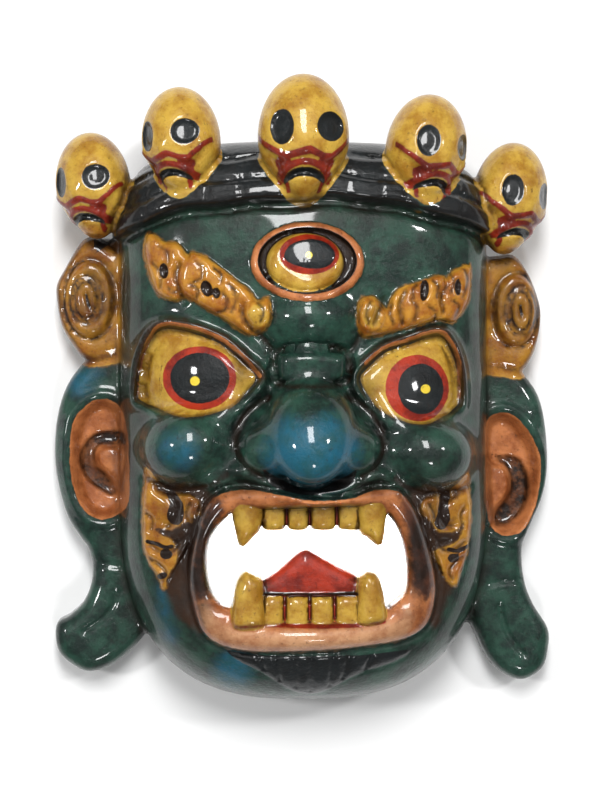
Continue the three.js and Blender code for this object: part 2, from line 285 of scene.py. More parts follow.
@dataclass(frozen=True)
class Stroke(Drawn):
    """A line with an even width."""

    width: float
    closed: bool = False

    def measure(self, x: Array, y: Array) -> Array:
        """Measure how far inside the line's width points lie."""
        line = smooth_loop(self.points) if self.closed else smooth_line(self.points)
        return 0.5 * self.width - edge_distance(x, y, line, self.closed)


def oval_px(height: float, cx: float, cy: float, wide: float, high: float, turn: float = 0.0) -> Oval:
    """Place an ellipse by the picture: its centre and its half-sizes in pixels."""
    x, y = SIGHT.at((cx, cy), height)
    scale = SIGHT.scale * (SIGHT.eye[2] - height) / (SIGHT.eye[2] - SIGHT.aim[2])
    return Oval(x, y, wide * scale, high * scale, turn)


class Relief:
    """Something carved up from or into the face."""

    def rise(self, x: Array, y: Array) -> Array:
        """Give how far the surface stands up at each point."""
        raise NotImplementedError


@dataclass(frozen=True)
class Plate(Relief):
    """A raised form with rounded edges, or a sunken one with a height below 0."""

    shape: Shape
    height: float
    edge: float
    crown: float = 0.0

    def rise(self, x: Array, y: Array) -> Array:
        """Give how far the surface stands up at each point."""
        deep = self.shape.inside(x, y)
        return self.height * quarter(deep, self.edge) + self.crown * np.clip(deep, 0.0, None)


@dataclass(frozen=True)
class Cut(Relief):
    """An engraved line, or a raised cord of wood with a depth below 0."""

    path: Path
    width: float
    depth: float
    closed: bool = False
    inked: bool = False

    def rise(self, x: Array, y: Array) -> Array:
        """Give how far the surface stands up at each point."""
        away = -Stroke(self.path, 0.0, self.closed).inside(x, y)
        return -self.depth * bell(away, 0.5 * self.width)


@dataclass(frozen=True)
class Swell(Relief):
    """A broad soft rise or hollow."""

    x: float
    y: float
    wide: float
    high: float
    height: float

    def rise(self, x: Array, y: Array) -> Array:
        """Give how far the surface stands up at each point."""
        return self.height * np.exp(-((x - self.x) / self.wide) ** 2 - ((y - self.y) / self.high) ** 2)


class Side(Enum):
    """The two sides of the face, as seen in the photograph."""

    LEFT = -1
    RIGHT = 1


@dataclass
class Points:
    """Points round the mask, in millimetres."""

    x: Array
    y: Array
    z: Array

    def some(self, chosen: Array) -> "Points":
        """Pick out some of the points."""
        return Points(self.x[chosen], self.y[chosen], self.z[chosen])

@dataclass
class Head:
    """The block of the head: its outline, its dome and the hollow behind it."""

    half_width: float = 88.0
    arch_from: float = 60.0
    arch_rise: float = 54.0
    jaw_from: float = -50.0
    jaw_drop: float = 99.3
    height: float = 66.0
    side_fall: float = 8.0
    wall: float = 13.0
    arch_power: float = 3.8
    jaw_power: float = 2.7
    dome_power: float = 4.0

    def reach(self, x: Array, y: Array, inset: float) -> Array:
        """Give 0 in the middle of the head and 1 on its outline, drawn in by the inset."""
        above = y > self.arch_from
        power = np.where(above, self.arch_power, self.jaw_power)
        past = np.where(above, y - self.arch_from, np.maximum(0.0, self.jaw_from - y))
        span = np.where(above, self.arch_rise, self.jaw_drop) - inset
        return (np.abs(x / (self.half_width - inset)) ** power
                + (past / span) ** power) ** (1.0 / power)

    def fullness(self, x: Array, y: Array, z: Array, inset: float) -> Array:
        """Give less than 1 inside the dome and more than 1 outside it."""
        top = self.height - inset - self.side_fall * (x / self.half_width) ** 2
        rise = np.clip(z, 0.0, None) / np.clip(top, 8.0, None)
        return (self.reach(x, y,
                           inset) ** self.dome_power + rise ** self.dome_power) ** (1 / self.dome_power)

    def distance(self, p: Points, inset: float = 0.0) -> Array:
        """Measure the distance to the dome, less than 0 inside it."""
        e = 0.05
        here = self.fullness(p.x, p.y, p.z, inset)
        slope = np.sqrt(sum(
            ((self.fullness(p.x + dx, p.y + dy, p.z + dz, inset) - here) / e) ** 2
            for dx, dy, dz in ((e, 0, 0), (0, e, 0), (0, 0, e))))
        return np.clip((here - 1.0) / np.maximum(slope, 0.004), -FAR, FAR)


@dataclass
class CrownBand:
    """The dark band over the forehead: three strips, each stepped back from the one below."""

    middle: float = 86.0
    drop: float = 16.0
    strip: float = 10.5
    proud: float = 7.0
    step: float = 1.3
    groove: float = 1.6
    half_width: float = 88.0

    def above(self, x: Array, y: Array) -> Array:
        """Measure how far points are above the band's lower edge."""
        sag = self.drop * np.abs(x / self.half_width) ** 2.6
        wave = 0.8 * np.sin(x / 13.0 + 0.6) + 0.5 * np.sin(x / 5.3)
        return y - (self.middle - sag + wave)

    def rise(self, p: Points) -> Array:
        """Give how far the band stands out of the head's own dome."""
        up = self.above(p.x, p.y)
        slant = 0.5 + 0.5 * ramp(p.z, 20.0, 60.0)
        out = self.proud * ramp(up, -3.4, 3.0) * slant
        for row in (1, 2):
            line = up - row * self.strip - 0.7 * np.sin(p.x / 9.0 + row)
            out = out - self.step * ramp(line, -0.9, 0.9) * ramp(up, 0.0, 3.0)
            out = out - self.groove * bell(line, 1.2) * ramp(up, 0.0, 3.0)
        for row, shift in ((0.34, 0.0), (0.68, 2.0), (1.4, 4.1), (1.7, 1.2), (2.5, 3.3)):
            line = up - row * self.strip - 0.9 * np.sin(p.x / 14.0 + shift)
            out = out - 0.45 * bell(line, 0.9) * ramp(np.sin(p.x / 11.0 + 2.3 * shift), -0.3, 0.5)
        for x in (-76.0, -47.0, -31.0, -12.0, 17.0, 33.0, 44.0, 71.0):
            line = p.x - x - 0.08 * up
            out = out - 0.5 * bell(line, 1.0) * ramp(up, 1.0, 3.0) * ramp(up, 19.0, 14.0)
        return out


@dataclass
class Skull:
    """One small skull of the crown."""

    x: float
    y: float
    z: float
    wide: float
    high: float
    deep: float
    turn: float = 0.0
    lean: float = 0.0
    sockets: tuple[tuple[float, float, float, float], ...] = (
        (-0.50, 0.10, 0.25, 0.28), (0.55, 0.11, 0.30, 0.235))

    def local(self, p: Points) -> tuple[Array, Array, Array]:
        """Give points as shares of the skull's own half-sizes."""
        dx, dy = turned(p.x - self.x, p.y - self.y, self.lean)
        dx, dz = turned(dx, p.z - self.z, -self.turn)
        return dx / self.wide, dy / self.high, dz / self.deep

    def near(self, p: Points, margin: float = 9.0) -> Array:
        """Say which points are near enough to matter."""
        r = max(self.wide, self.high, self.deep) * 1.1 + margin
        return (p.x - self.x) ** 2 + (p.y - self.y) ** 2 + (p.z - self.z) ** 2 < r * r

    def distance(self, p: Points) -> Array:
        """Measure the distance to the skull, less than 0 inside it."""
        u, v, w = self.local(p)
        down = np.clip(-v, 0.0, 1.2)
        jaw = 1.0 - 0.30 * ramp(down, 0.15, 1.0)
        r = np.sqrt((u / jaw) ** 2 + v * v + (w / (1.0 - 0.12 * down)) ** 2)
        size = (self.wide + self.deep) / 2.0
        front = ramp(w, 0.2, 0.6)
        out = (r - 1.0) * size
        for ex, ey, rx, ry in self.sockets:
            e = ((u - ex) / rx) ** 2 + ((v - ey) / ry) ** 2
            out = out + 1.6 * front * ramp(1.15 - e, 0.0, 0.9)
        out = out - 0.7 * front * np.exp(-((v + 0.16) / 0.12) ** 2 - (u / 0.15) ** 2)
        line = self.cheek_line(u)
        out = out - 0.7 * front * bell(v - line, 0.05)
        out = out + 1.1 * front * ramp(line - v, 0.03, 0.14) * ramp(v, -0.60, -0.45)
        out = out + 2.4 * front * ramp(self.mouth(u, v), -0.03, 0.07)
        out = out - 0.9 * front * bell(self.lip(u, v), 0.045) * ramp(v, -0.72, -0.60)
        for sign in (-1, 1):
            out = out + 0.8 * front * bell(self.jaw_line(u, v, sign), 0.05) * ramp(-v, 0.34, 0.5)
        return out

    @staticmethod
    def mouth(u: Array, v: Array) -> Array:
        """Measure how far inside the drooping mouth points lie, as a share of the skull's size."""
        upper = (1.0 - oval_reach(u, v, (0.0, -0.72), (0.45, 0.20))) * 0.20
        chin = (1.0 - oval_reach(u, v, (0.0, -0.93), (0.52, 0.27))) * 0.27
        return np.minimum(upper, -chin)

    @staticmethod
    def lip(u: Array, v: Array) -> Array:
        """Measure how far points are from the ridge over the mouth, less than 0 below it."""
        return (oval_reach(u, v, (0.0, -0.71), (0.52, 0.27)) - 1.0) * 0.27

    @staticmethod
    def jaw_line(u: Array, v: Array, sign: int) -> Array:
        """Measure how far points are from the slanting line down one side of the jaw."""
        return u - sign * (0.62 - 0.30 * ramp(-v, 0.30, 0.95))

    @staticmethod
    def cheek_line(u: Array) -> Array:
        """Give the height of the wavy line under the cheeks."""
        xs = (-1.0, -0.88, -0.62, -0.42, -0.1, 0.11, 0.42, 0.57, 0.80, 0.95, 1.05)
        ys = (-0.02, -0.15, -0.28, -0.36, -0.30, -0.26, -0.36, -0.36, -0.22, -0.08, 0.0)
        return np.interp(u, xs, ys)


SKULLS = (
    Skull(-2.6, 113.9, 69.0, 20.9, 28.8, 19.5, 0.0),
    Skull(-58.3, 112.6, 59.0, 18.2, 25.0, 18.0, -31.0, 4.0),
    Skull(54.6, 109.2, 59.0, 19.2, 25.8, 18.0, 31.0, -8.0),
    Skull(-99.6, 94.2, 34.0, 17.8, 25.0, 17.0, -31.0, 6.0),
    Skull(97.0, 89.0, 34.0, 18.4, 26.6, 17.0, 31.0, -8.0),
)


@dataclass
class Ear:
    """A long-lobed ear, flat behind, with a painted bowl."""

    outline: Outline
    bowl: Outline
    inner: Outline
    creases: tuple[Cut, ...]
    fold: Outline
    thick: float = 22.0

    def distance(self, p: Points) -> Array:
        """Measure the distance to the ear, less than 0 inside it."""
        deep = self.outline.inside(p.x, p.y)
        bowl = self.bowl.inside(p.x, p.y)
        top = self.thick - 1.5 + 1.5 * ramp(deep, 0.0, 8.0)
        top = top - 7.5 * ramp(bowl, -0.5, 5.0) + 1.6 * bell(bowl + 3.0, 2.2)
        top = top + 4.6 * ramp(self.inner.inside(p.x, p.y), -0.5, 3.0)
        top = top - 2.6 * ramp(self.fold.inside(p.x, p.y), -0.6, 2.0)
        for crease in self.creases:
            top = top + crease.rise(p.x, p.y)
        return soft_max(-deep, p.z - top, 6.0)


@dataclass
class EarDisc:
    """An oval boss above an ear, with rings round its middle."""

    outline: Outline
    rings: tuple[Oval, Oval]
    slit: Path
    thick: float = 26.5

    def distance(self, p: Points) -> Array:
        """Measure the distance to the disc, less than 0 inside it."""
        deep = self.outline.inside(p.x, p.y)
        outer, inner = self.rings[0].inside(p.x, p.y), self.rings[1].inside(p.x, p.y)
        top = self.thick - 2.5 - 1.6 * bell(outer, 1.2) - 1.5 * bell(inner, 1.1)
        top = top - 1.3 * bell(inner - 2.6, 1.0)
        top = top + 2.0 * ramp(outer, 0.0, 4.0) + 0.8 * ramp(inner, 0.0, 4.0)
        top = top + Cut(self.slit, 2.4, 1.8).rise(p.x, p.y)
        return soft_max(-deep, p.z - top, 7.0)


@dataclass
class Ball:
    """A rounded lump of the face, such as the nose or a cheek."""

    x: float
    y: float
    z: float
    wide: float
    high: float
    deep: float
    blend: float = 4.0
    turn: float = 0.0
    tilt: float = 0.0

    def distance(self, p: Points) -> Array:
        """Measure the distance to the lump, less than 0 inside it."""
        dx, dy = turned(p.x - self.x, p.y - self.y, self.turn)
        dy, dz = turned(dy, p.z - self.z, -self.tilt)
        u, v, w = dx / self.wide, dy / self.high, dz / self.deep
        r = np.sqrt(u * u + v * v + w * w) + 1e-6
        slope = np.sqrt((u / self.wide) ** 2 + (v / self.high) ** 2 + (w / self.deep) ** 2) / r + 1e-6
        return (r - 1.0) / slope

    def near(self, p: Points) -> Array:
        """Say which points are near enough to matter."""
        r = max(self.wide, self.high, self.deep) + 2.0 * self.blend + 3.0
        return (p.x - self.x) ** 2 + (p.y - self.y) ** 2 + (p.z - self.z) ** 2 < r * r


@dataclass
class Pillow:
    """A rounded upright form in the mouth: a tooth, a fang, the gum or the tongue."""

    outline: Shape
    back: float
    front: float
    bulge: float
    edge: float
    blend: float = 0.7

    def distance(self, p: Points) -> Array:
        """Measure the distance to the form, less than 0 inside it."""
        deep = self.outline.inside(p.x, p.y)
        top = self.front - self.bulge * (1.0 - quarter(deep, self.edge))
        return soft_max(soft_max(-deep, p.z - top, 0.8), self.back - p.z, 0.8)

    def near(self, p: Points) -> Array:
        """Say which points are near enough to matter."""
        low_x, low_y, high_x, high_y = self.outline.limits()
        m = 5.0
        flat = (p.x > low_x - m) & (p.x < high_x + m) & (p.y > low_y - m) & (p.y < high_y + m)
        return flat & (p.z > self.back - m) & (p.z < self.front + m)


def box_outline(left: float, right: float, low: float, high: float) -> Outline:
    """Draw an upright block with slightly rounded corners."""
    c = min(1.6, 0.3 * (right - left))
    return Outline((
        (left + c, low), (right - c, low), (right, low + c), (right, high - c),
        (right - c, high), (left + c, high), (left, high - c), (left, low + c)), per=2)


@dataclass
class Eye:
    """One of the two lower eyes: its opening, its ball and its painted rings."""

    side: Side
    opening: Outline
    iris: Oval
    pupil: Oval
    dot: Oval
    lid: float = 4.2
    ball: float = 8.0
    tilt: float = 0.09

    def rise(self, x: Array, y: Array) -> Array:
        """Give how far the lids and the ball stand up."""
        deep = self.opening.inside(x, y)
        fold = bell(deep + 3.2, 2.4) * ramp(-deep, -0.4, 2.4)
        upper = 0.62 + 0.38 * ramp(y, self.iris.y - 10.0, self.iris.y + 8.0)
        r = np.hypot((x - self.iris.x) / 25.0, (y - self.iris.y) / 21.0)
        ball = self.ball * (1.25 * np.exp(-1.1 * r * r) - 0.32) - 1.4 + 1.2 * ramp(deep, 1.0, 5.0)
        ball = ball - self.tilt * self.side.value * (x - self.iris.x)
        return self.lid * fold * upper + ball * ramp(deep, -1.8, 2.4)


@dataclass
class Mouth:
    """The open mouth: the lips round it, and the teeth, fangs and tongue inside."""

    gap: Outline
    lips: Outline
    height: float = 5.6
    pillows: tuple[Pillow, ...] = ()

    def rise(self, x: Array, y: Array) -> Array:
        """Give how far the lips stand up."""
        outer, inner = self.lips.inside(x, y), -self.gap.inside(x, y)
        share = np.clip(outer / np.maximum(outer + np.clip(inner, 0.0, None), 0.5), 0.0, 1.0)
        ridge = np.sin(math.pi * np.clip(share, 0.0, 1.0) ** 0.8) ** 0.7
        return self.height * np.where(outer > 0, ridge, 0.0) - 1.4 * bell(outer + 1.2, 1.3)


# the heights in millimetres that lines of the picture are read at
BROW_Z = 68.0
FLAME_Z = 57.0
KNOB_Z = 76.0
EAR_Z = 20.0
DISC_Z = 25.0
FLAME_HEIGHT = 3.0
LEFT_EYE = Eye(
    Side.LEFT,
    Outline(px(66, 137, 396, 141, 362, 152, 337, 166, 328, 196, 334, 222, 345, 241, 362, 256, 377,
        247, 391, 232, 407, 205, 415, 180, 417, 156, 408, 143, 402)),
    oval_px(69, 199.5, 378, 37, 32), oval_px(70, 200, 378, 29.8, 25.5), oval_px(71, 195, 381, 4.8, 4.8))
RIGHT_EYE = Eye(
    Side.RIGHT,
    Outline(px(66, 463, 400, 460, 366, 449, 341, 436, 336, 408, 345, 386, 353, 372, 365, 361, 378,
        369, 396, 381, 411, 402, 421, 424, 424, 446, 416, 457, 409)),
    oval_px(69, 419.5, 388, 33.5, 33.5), oval_px(70, 423, 389, 24, 25.5),
    oval_px(71, 428, 389, 5.2, 4.6))

LEFT_BROW = Outline(px(
    BROW_Z, 146, 232, 152, 231, 163, 240, 175, 241, 183, 247, 188, 256, 191, 251, 207, 257, 236,
    280, 249, 290, 254, 298, 259, 301, 268, 297, 271, 312, 269, 324, 261, 333, 250, 335, 240, 330,
    219, 316, 203, 307, 186, 297, 176, 300, 164, 297, 155, 290, 147, 270, 143, 248))
RIGHT_BROW = Outline(px(
    BROW_Z, 360, 300, 373, 296, 381, 303, 387, 308, 393, 296, 401, 288, 419, 282, 438, 275, 446,
    275, 449, 281, 453, 272, 468, 264, 473, 263, 476, 262, 476, 282, 474, 300, 465, 314, 456, 322,
    444, 319, 424, 324, 398, 331, 376, 336, 362, 336, 357, 322))


BEARD = px(62, 226, 651, 250, 655, 311, 656, 370, 655, 413, 651, 394, 664, 367, 672, 346, 683, 327,
    695, 311, 699, 297, 696, 280, 686, 262, 673, 243, 664)

# the beard's cuts: x above, and x and y below, in pixels
BEARD_CUTS = (
    (259, 264, 670), (276, 280, 682), (294, 297, 690), (312, 312, 695), (334, 331, 689),
    (349, 344, 680), (372, 366, 670))
THIRD_RIM = oval_px(72, 308, 261.5, 57, 40)
THIRD_SOCKET = oval_px(72, 307.5, 260.5, 49, 33)
THIRD_BALL = oval_px(74, 305.6, 262.3, 39, 30)
BROW_ENDS = (oval_px(BROW_Z, 257.5, 316, 13.5, 16), oval_px(BROW_Z, 371.5, 316, 13.5, 17))
BROW_CURLS = (
    (222, 293, 227, 300, 225, 310, 218, 312), (196, 262, 202, 268, 201, 278, 193, 282),
    (190, 284, 198, 290, 196, 298), (228, 284, 235, 291, 236, 302, 231, 311),
    (158, 244, 166, 250, 168, 262), (152, 262, 160, 272, 160, 286), (258, 304, 263, 311, 260, 322),
    (214, 268, 221, 274, 221, 282), (168, 288, 174, 292, 180, 290), (412, 300, 418, 308, 415, 320),
    (434, 280, 440, 286, 438, 296), (430, 306, 437, 312, 436, 320), (468, 268, 471, 280, 466, 296),
    (456, 300, 462, 306, 458, 316), (418, 284, 413, 290, 414, 298), (370, 302, 366, 312, 368, 324),
    (392, 304, 390, 314, 394, 324), (452, 272, 456, 280, 453, 292)
)


COMMAS = (
    Outline(px(60, 165, 484, 172, 489, 178, 496, 183, 503, 184, 512, 183, 520, 178, 525, 171, 524,
        167, 518, 168, 510, 170, 503, 166, 494), per=2),
    Outline(px(60, 440, 496, 450, 490, 454, 494, 449, 503, 450, 512, 451, 521, 446, 529, 438, 529,
        434, 523, 438, 514), per=2),
    Stroke(px(60, 147, 543, 157, 545, 165, 548, 172, 547), 2.0),
    Stroke(px(60, 470, 548, 460, 552, 450, 550), 2.0),
    # a dark line along the slot between the tongue and the lower teeth: a painted shadow
    Stroke(px(64, 264, 593.5, 311, 595, 356, 593.5), 1.5),
    oval_px(60, 166, 555, 6.5, 5.0), oval_px(60, 455, 559, 6.5, 4.6),
    oval_px(60, 162, 577, 5.5, 3.4, 20),
)
BARE_PATCHES = (
    Outline(px(60, 184, 521, 192, 523, 199, 514, 210, 528, 200, 560, 184, 580, 168, 598, 166, 582,
        171, 570, 176, 562, 177, 550, 172, 541, 162, 536, 154, 531, 158, 528, 172, 530), per=2),
    Outline(px(60, 410, 512, 428, 518, 436, 529, 448, 533, 458, 530, 466, 523, 464, 535, 456, 544,
        444, 548, 434, 552, 440, 566, 448, 584, 430, 560), per=2),
)

# traced patches of paint
FLESH_PATCH = Outline(px(66, 200, 604, 214, 610, 226, 624, 300, 630, 390, 622, 404, 606, 412, 612,
    410, 632, 392, 644, 311, 650, 228, 648, 208, 632))
UMBER_PATCHES = (
    Outline(px(70, 192, 492, 212, 494, 224, 506, 214, 530, 209, 560, 212, 590, 202, 600, 184, 604,
        184, 560, 186, 520)),
    Outline(px(70, 398, 492, 414, 490, 428, 520, 440, 560, 434, 596, 420, 596, 412, 570, 410, 540, 402,
               512)),
    Outline(px(70, 192, 612, 206, 606, 212, 622, 202, 632)),
)
LIP_FOOT = Stroke(px(69, 236, 627, 262, 625, 310, 626, 360, 625, 384, 622), 1.8)
THIRD_RING = oval_px(75, 309.6, 254, 30.0, 20.5)
THIRD_PUPIL = Outline(px(75, 284, 256, 288, 247, 298, 241, 312, 239, 326, 242, 334, 250, 335, 258,
    328, 266, 316, 269, 300, 267, 288, 262))
THIRD_DOT = oval_px(75, 309, 255, 3.6, 3.6)
# painted shadow: a black crescent under the nose's bulb
NOSE_SHADOW = Outline(px(70, 262, 468, 275, 476, 310, 490, 345, 476, 356, 468, 350, 484, 330, 492, 311,
    495, 290, 492, 270, 484))
LID_LINES = (
    px(68, 138, 396, 140, 362, 151, 334, 165, 323, 196, 328, 222, 339, 243, 356, 260, 376),
    px(68, 464, 398, 463, 362, 451, 337, 436, 331, 408, 340, 384, 348, 366, 363),
)
BLUE_PATCHES = (
    Outline(px(80, 268, 438, 288, 418, 304, 424, 330, 416, 352, 436, 358, 452, 350, 474, 336, 486,
        308, 490, 284, 484, 266, 462)),
    oval_px(70, 178, 450, 17, 17), oval_px(58, 233, 673, 17, 19),
    Outline(px(50, 160, 590, 167, 596, 171, 620, 174, 640, 166, 640, 161, 620)),
    oval_px(EAR_Z, 84, 380, 16, 10, 40),
)
BROWN_PATCHES = (
    Outline(px(58, 160, 486, 205, 488, 214, 520, 204, 560, 198, 600, 206, 632, 180, 620, 164, 590,
        150, 560, 150, 510)),
    Outline(px(58, 410, 490, 450, 490, 462, 520, 466, 560, 450, 600, 436, 630, 424, 600, 424, 550, 416,
               520)),
)
# spots of brown wash, and of painted shade under the crown band, on the head's sides and in the eye
# corners: x, y, half-width, half-height and thickness
WASH_AND_SHADE_SPOTS = (
    (-49.0, -76.0, 8.5, 24.0, 1.7), (51.0, -76.0, 7.0, 24.0, 1.3), (-84.0, -10.0, 8.0, 60.0, 0.75),
    (84.0, -10.0, 8.0, 60.0, 0.55), (-60.0, -58.0, 16.0, 24.0, 0.45), (60.0, -60.0, 16.0, 26.0,
        0.5),
    (-80.0, 20.0, 8.0, 22.0, 0.5), (78.0, 14.0, 8.0, 22.0, 0.3), (0.0, 80.0, 80.0, 7.0, 0.5),
    (-30.0, -46.0, 14.0, 6.0, 0.6), (30.0, -46.0, 14.0, 6.0, 0.6), (-30.3, 7.6, 6.0, 9.0, 0.6),
    (28.0, -1.0, 5.0, 9.0, 0.55), (-79.0, 10.0, 4.5, 17.0, 0.8), (73.0, 8.0, 4.0, 15.0, 0.6),
    (-98.0, 42.0, 16.0, 28.0, 0.75), (98.0, 36.0, 16.0, 28.0, 0.6), (60.0, -106.0, 24.0, 20.0, 0.4),
    (-62.0, -106.0, 22.0, 20.0, 0.35), (-60.0, 78.0, 18.0, 14.0, 0.35), (60.0, 74.0, 18.0, 14.0,
        0.3),
)


@dataclass
class Face:
    """Everything on the front that is carved up from the dome or into it."""

    eyes: tuple[Eye, Eye] = (LEFT_EYE, RIGHT_EYE)
    brows: tuple[Outline, Outline] = (LEFT_BROW, RIGHT_BROW)
    reliefs: tuple[Relief, ...] = ()
    balls: tuple[Ball, ...] = ()

    def __post_init__(self) -> None:
        """Carve the smaller forms."""
        third = [
            Plate(THIRD_RIM, 2.6, 2.2),
            Plate(THIRD_SOCKET, -3.6, 1.6),
            Plate(THIRD_BALL, 5.6, 4.5, 0.12),
            Cut(px(74, 280, 255, 290, 242, 309, 236, 330, 242, 339, 255, 330, 268, 309, 275, 289,
                268), 2.0, 0.6, True),
        ]
        curls = [
            Plate(LEFT_BROW, 5.0, 4.0), Plate(RIGHT_BROW, 5.0, 4.0),
            Plate(BROW_ENDS[0], 2.2, 6.0), Plate(BROW_ENDS[1], 2.2, 6.0),
            Cut(px(BROW_Z, 179, 264, 176, 275, 178, 286, 184, 300), 3.2, 2.6, inked=True),
            Cut(px(BROW_Z, 242, 306, 243, 317, 252, 330), 3.2, 2.6, inked=True),
            *(Cut(px(BROW_Z, *line), 2.2, 1.0, inked=True) for line in BROW_CURLS),
            Cut(px(BROW_Z, 406, 291, 400, 304, 403, 323), 3.2, 2.6, inked=True),
            Cut(px(BROW_Z, 449, 285, 443, 297, 445, 312), 3.0, 2.4, inked=True),
            Cut(px(BROW_Z, 388, 299, 379, 310, 374, 324), 3.0, 2.4, inked=True),
            Plate(oval_px(BROW_Z, 163.7, 270, 4.5, 8, 6), -2.6, 2.0),
            Plate(oval_px(BROW_Z, 206.5, 288.5, 5.5, 8.5, 20), -2.6, 2.0),
            Plate(oval_px(BROW_Z, 216.5, 293, 4.2, 5.5), -2.2, 1.8),
            Plate(oval_px(BROW_Z, 425, 290, 4.5, 11, -6), -2.6, 2.0),
            Plate(oval_px(BROW_Z, 460.6, 286.5, 3.6, 8.5), -2.6, 1.8),
        ]
        lines = [
            Cut(px(KNOB_Z, 258, 332, 266, 340, 274, 351), 4.0, 2.4, inked=True),
            Cut(px(KNOB_Z, 362, 334, 358, 343, 352, 352), 4.0, 2.4, inked=True),
            Plate(Outline(px(KNOB_Z, 284, 352, 312, 350, 342, 352, 348, 359, 348, 373, 342, 381,
                312, 384, 284, 382, 278, 374, 278, 359)), 6.5, 6.0),
            Cut(px(KNOB_Z, 282, 349, 312, 347, 344, 349, 351, 357, 351, 375, 344, 384, 312, 387,
                282, 385, 275, 376, 275, 357), 4.2, 3.0, True, inked=True),
            Cut(px(72, 212, 484, 236, 471, 262, 480, 285, 492, 311, 496, 340, 491, 360, 481, 381,
                475, 402, 489), 7.0, -4.6),
            Cut(px(70, 270, 398, 256, 406, 244, 417, 237, 432, 237, 450, 246, 465, 262, 477), 4.6, 3.4,
                inked=True),
            Cut(px(70, 346, 397, 361, 404, 374, 415, 382, 430, 383, 448, 376, 464, 362, 476), 4.6, 3.4,
                inked=True),
            Cut(px(62, 148, 480, 172, 489, 205, 487, 226, 474), 5.0, 2.6, inked=True),
            Cut(px(62, 470, 488, 446, 495, 415, 491, 394, 479), 5.0, 2.6, inked=True),
        ]
        whiskers = [
            Plate(Outline(px(FLAME_Z, 146, 467, 157, 480, 166, 489, 176, 494, 186, 493, 198, 500,
                201, 512, 197, 528, 188, 545, 180, 560, 172, 575, 164, 591, 158, 578, 146, 560, 142,
                538, 142, 522, 142, 500, 144, 482)), FLAME_HEIGHT, 2.6),
            Plate(Outline(px(FLAME_Z, 469, 472, 452, 489, 447, 500, 436, 494, 424, 498, 418, 510,
                422, 528, 430, 545, 436, 560, 444, 575, 457, 588, 463, 575, 470, 551, 474, 522, 473,
                500)), FLAME_HEIGHT, 2.6),
            Cut(px(FLAME_Z, 160, 488, 171, 496, 177, 508, 174, 520, 168, 526), 5.0, 2.6, inked=True),
            Cut(px(FLAME_Z, 190, 502, 186, 514, 189, 526, 184, 538, 174, 542), 3.4, 2.0, inked=True),
            Cut(px(FLAME_Z, 150, 546, 160, 552, 172, 551, 178, 545), 3.4, 2.0, inked=True),
            Cut(px(FLAME_Z, 150, 560, 160, 566, 166, 574, 163, 582), 2.8, 1.6, inked=True),
            Cut(px(FLAME_Z, 146, 514, 152, 520, 151, 530), 2.6, 1.4, inked=True),
            Cut(px(FLAME_Z, 452, 492, 444, 502, 441, 514, 446, 524, 453, 526), 5.0, 2.6, inked=True),
            Cut(px(FLAME_Z, 428, 504, 434, 516, 431, 528, 438, 540, 448, 542), 3.4, 2.0, inked=True),
            Cut(px(FLAME_Z, 466, 544, 456, 551, 445, 550, 438, 545), 3.4, 2.0, inked=True),
            Cut(px(FLAME_Z, 464, 558, 456, 564, 450, 572, 454, 580), 2.8, 1.6, inked=True),
            Cut(px(FLAME_Z, 466, 508, 462, 516, 464, 526), 2.6, 1.4, inked=True),
        ]
        beard: list[Relief] = [Plate(Outline(BEARD, per=2), 0.9, 4.0)]
        beard += [Cut(px(62, x0, 656, x1, y1), 1.8, 1.0) for x0, x1, y1 in BEARD_CUTS]
        swells = [
            Swell(0, 56, 34, 24, 4), Swell(0, 31, 19, 14, 8), Swell(-50, 3, 26, 20, -7),
            Swell(50, 3, 26, 20, -7), Swell(0, -54, 46, 22, 7), Swell(0, -114, 44, 13, 5),
            Swell(-66, -72, 12, 26, -3), Swell(66, -72, 12, 26, -3), Swell(0, -40, 16, 6, -5),
            Swell(-42, 22, 18, 7, -2), Swell(42, 20, 18, 7, -2),
        ]
        self.reliefs = tuple(third + curls + lines + whiskers + beard + swells)
        self.balls = (
            Ball(0.5, 31.5, 60.0, 20.5, 13.0, 16.5, 5.0),
            Ball(0.2, -9.0, 61.0, 17.0, 10.5, 14.0, 5.0),
            Ball(0.5, -19.8, 73.3, 20.8, 27.5, 18.0, 6.0, tilt=35.0),
            Ball(-19.8, -29.4, 65.0, 13.8, 13.0, 16.5, 7.0, -8.0),
            Ball(20.2, -29.8, 65.0, 13.8, 12.6, 16.5, 7.0, 8.0),
            Ball(-54.9, -27.2, 54.0, 21.8, 19.0, 22.5, 8.0, 14.0),
            Ball(55.2, -30.4, 54.0, 22.0, 18.0, 22.5, 8.0, -12.0),
            Ball(-39.5, -13.5, 55.0, 15.0, 7.5, 13.5, 6.0, 36.0),
            Ball(40.5, -15.5, 55.0, 15.0, 7.5, 13.5, 6.0, -36.0),
        )

    def rise(self, x: Array, y: Array) -> Array:
        """Give how far the surface stands up from the dome."""
        out = np.zeros(x.shape)
        for relief in self.reliefs:
            out += relief.rise(x, y)
        for eye in self.eyes:
            out += eye.rise(x, y)
        return out


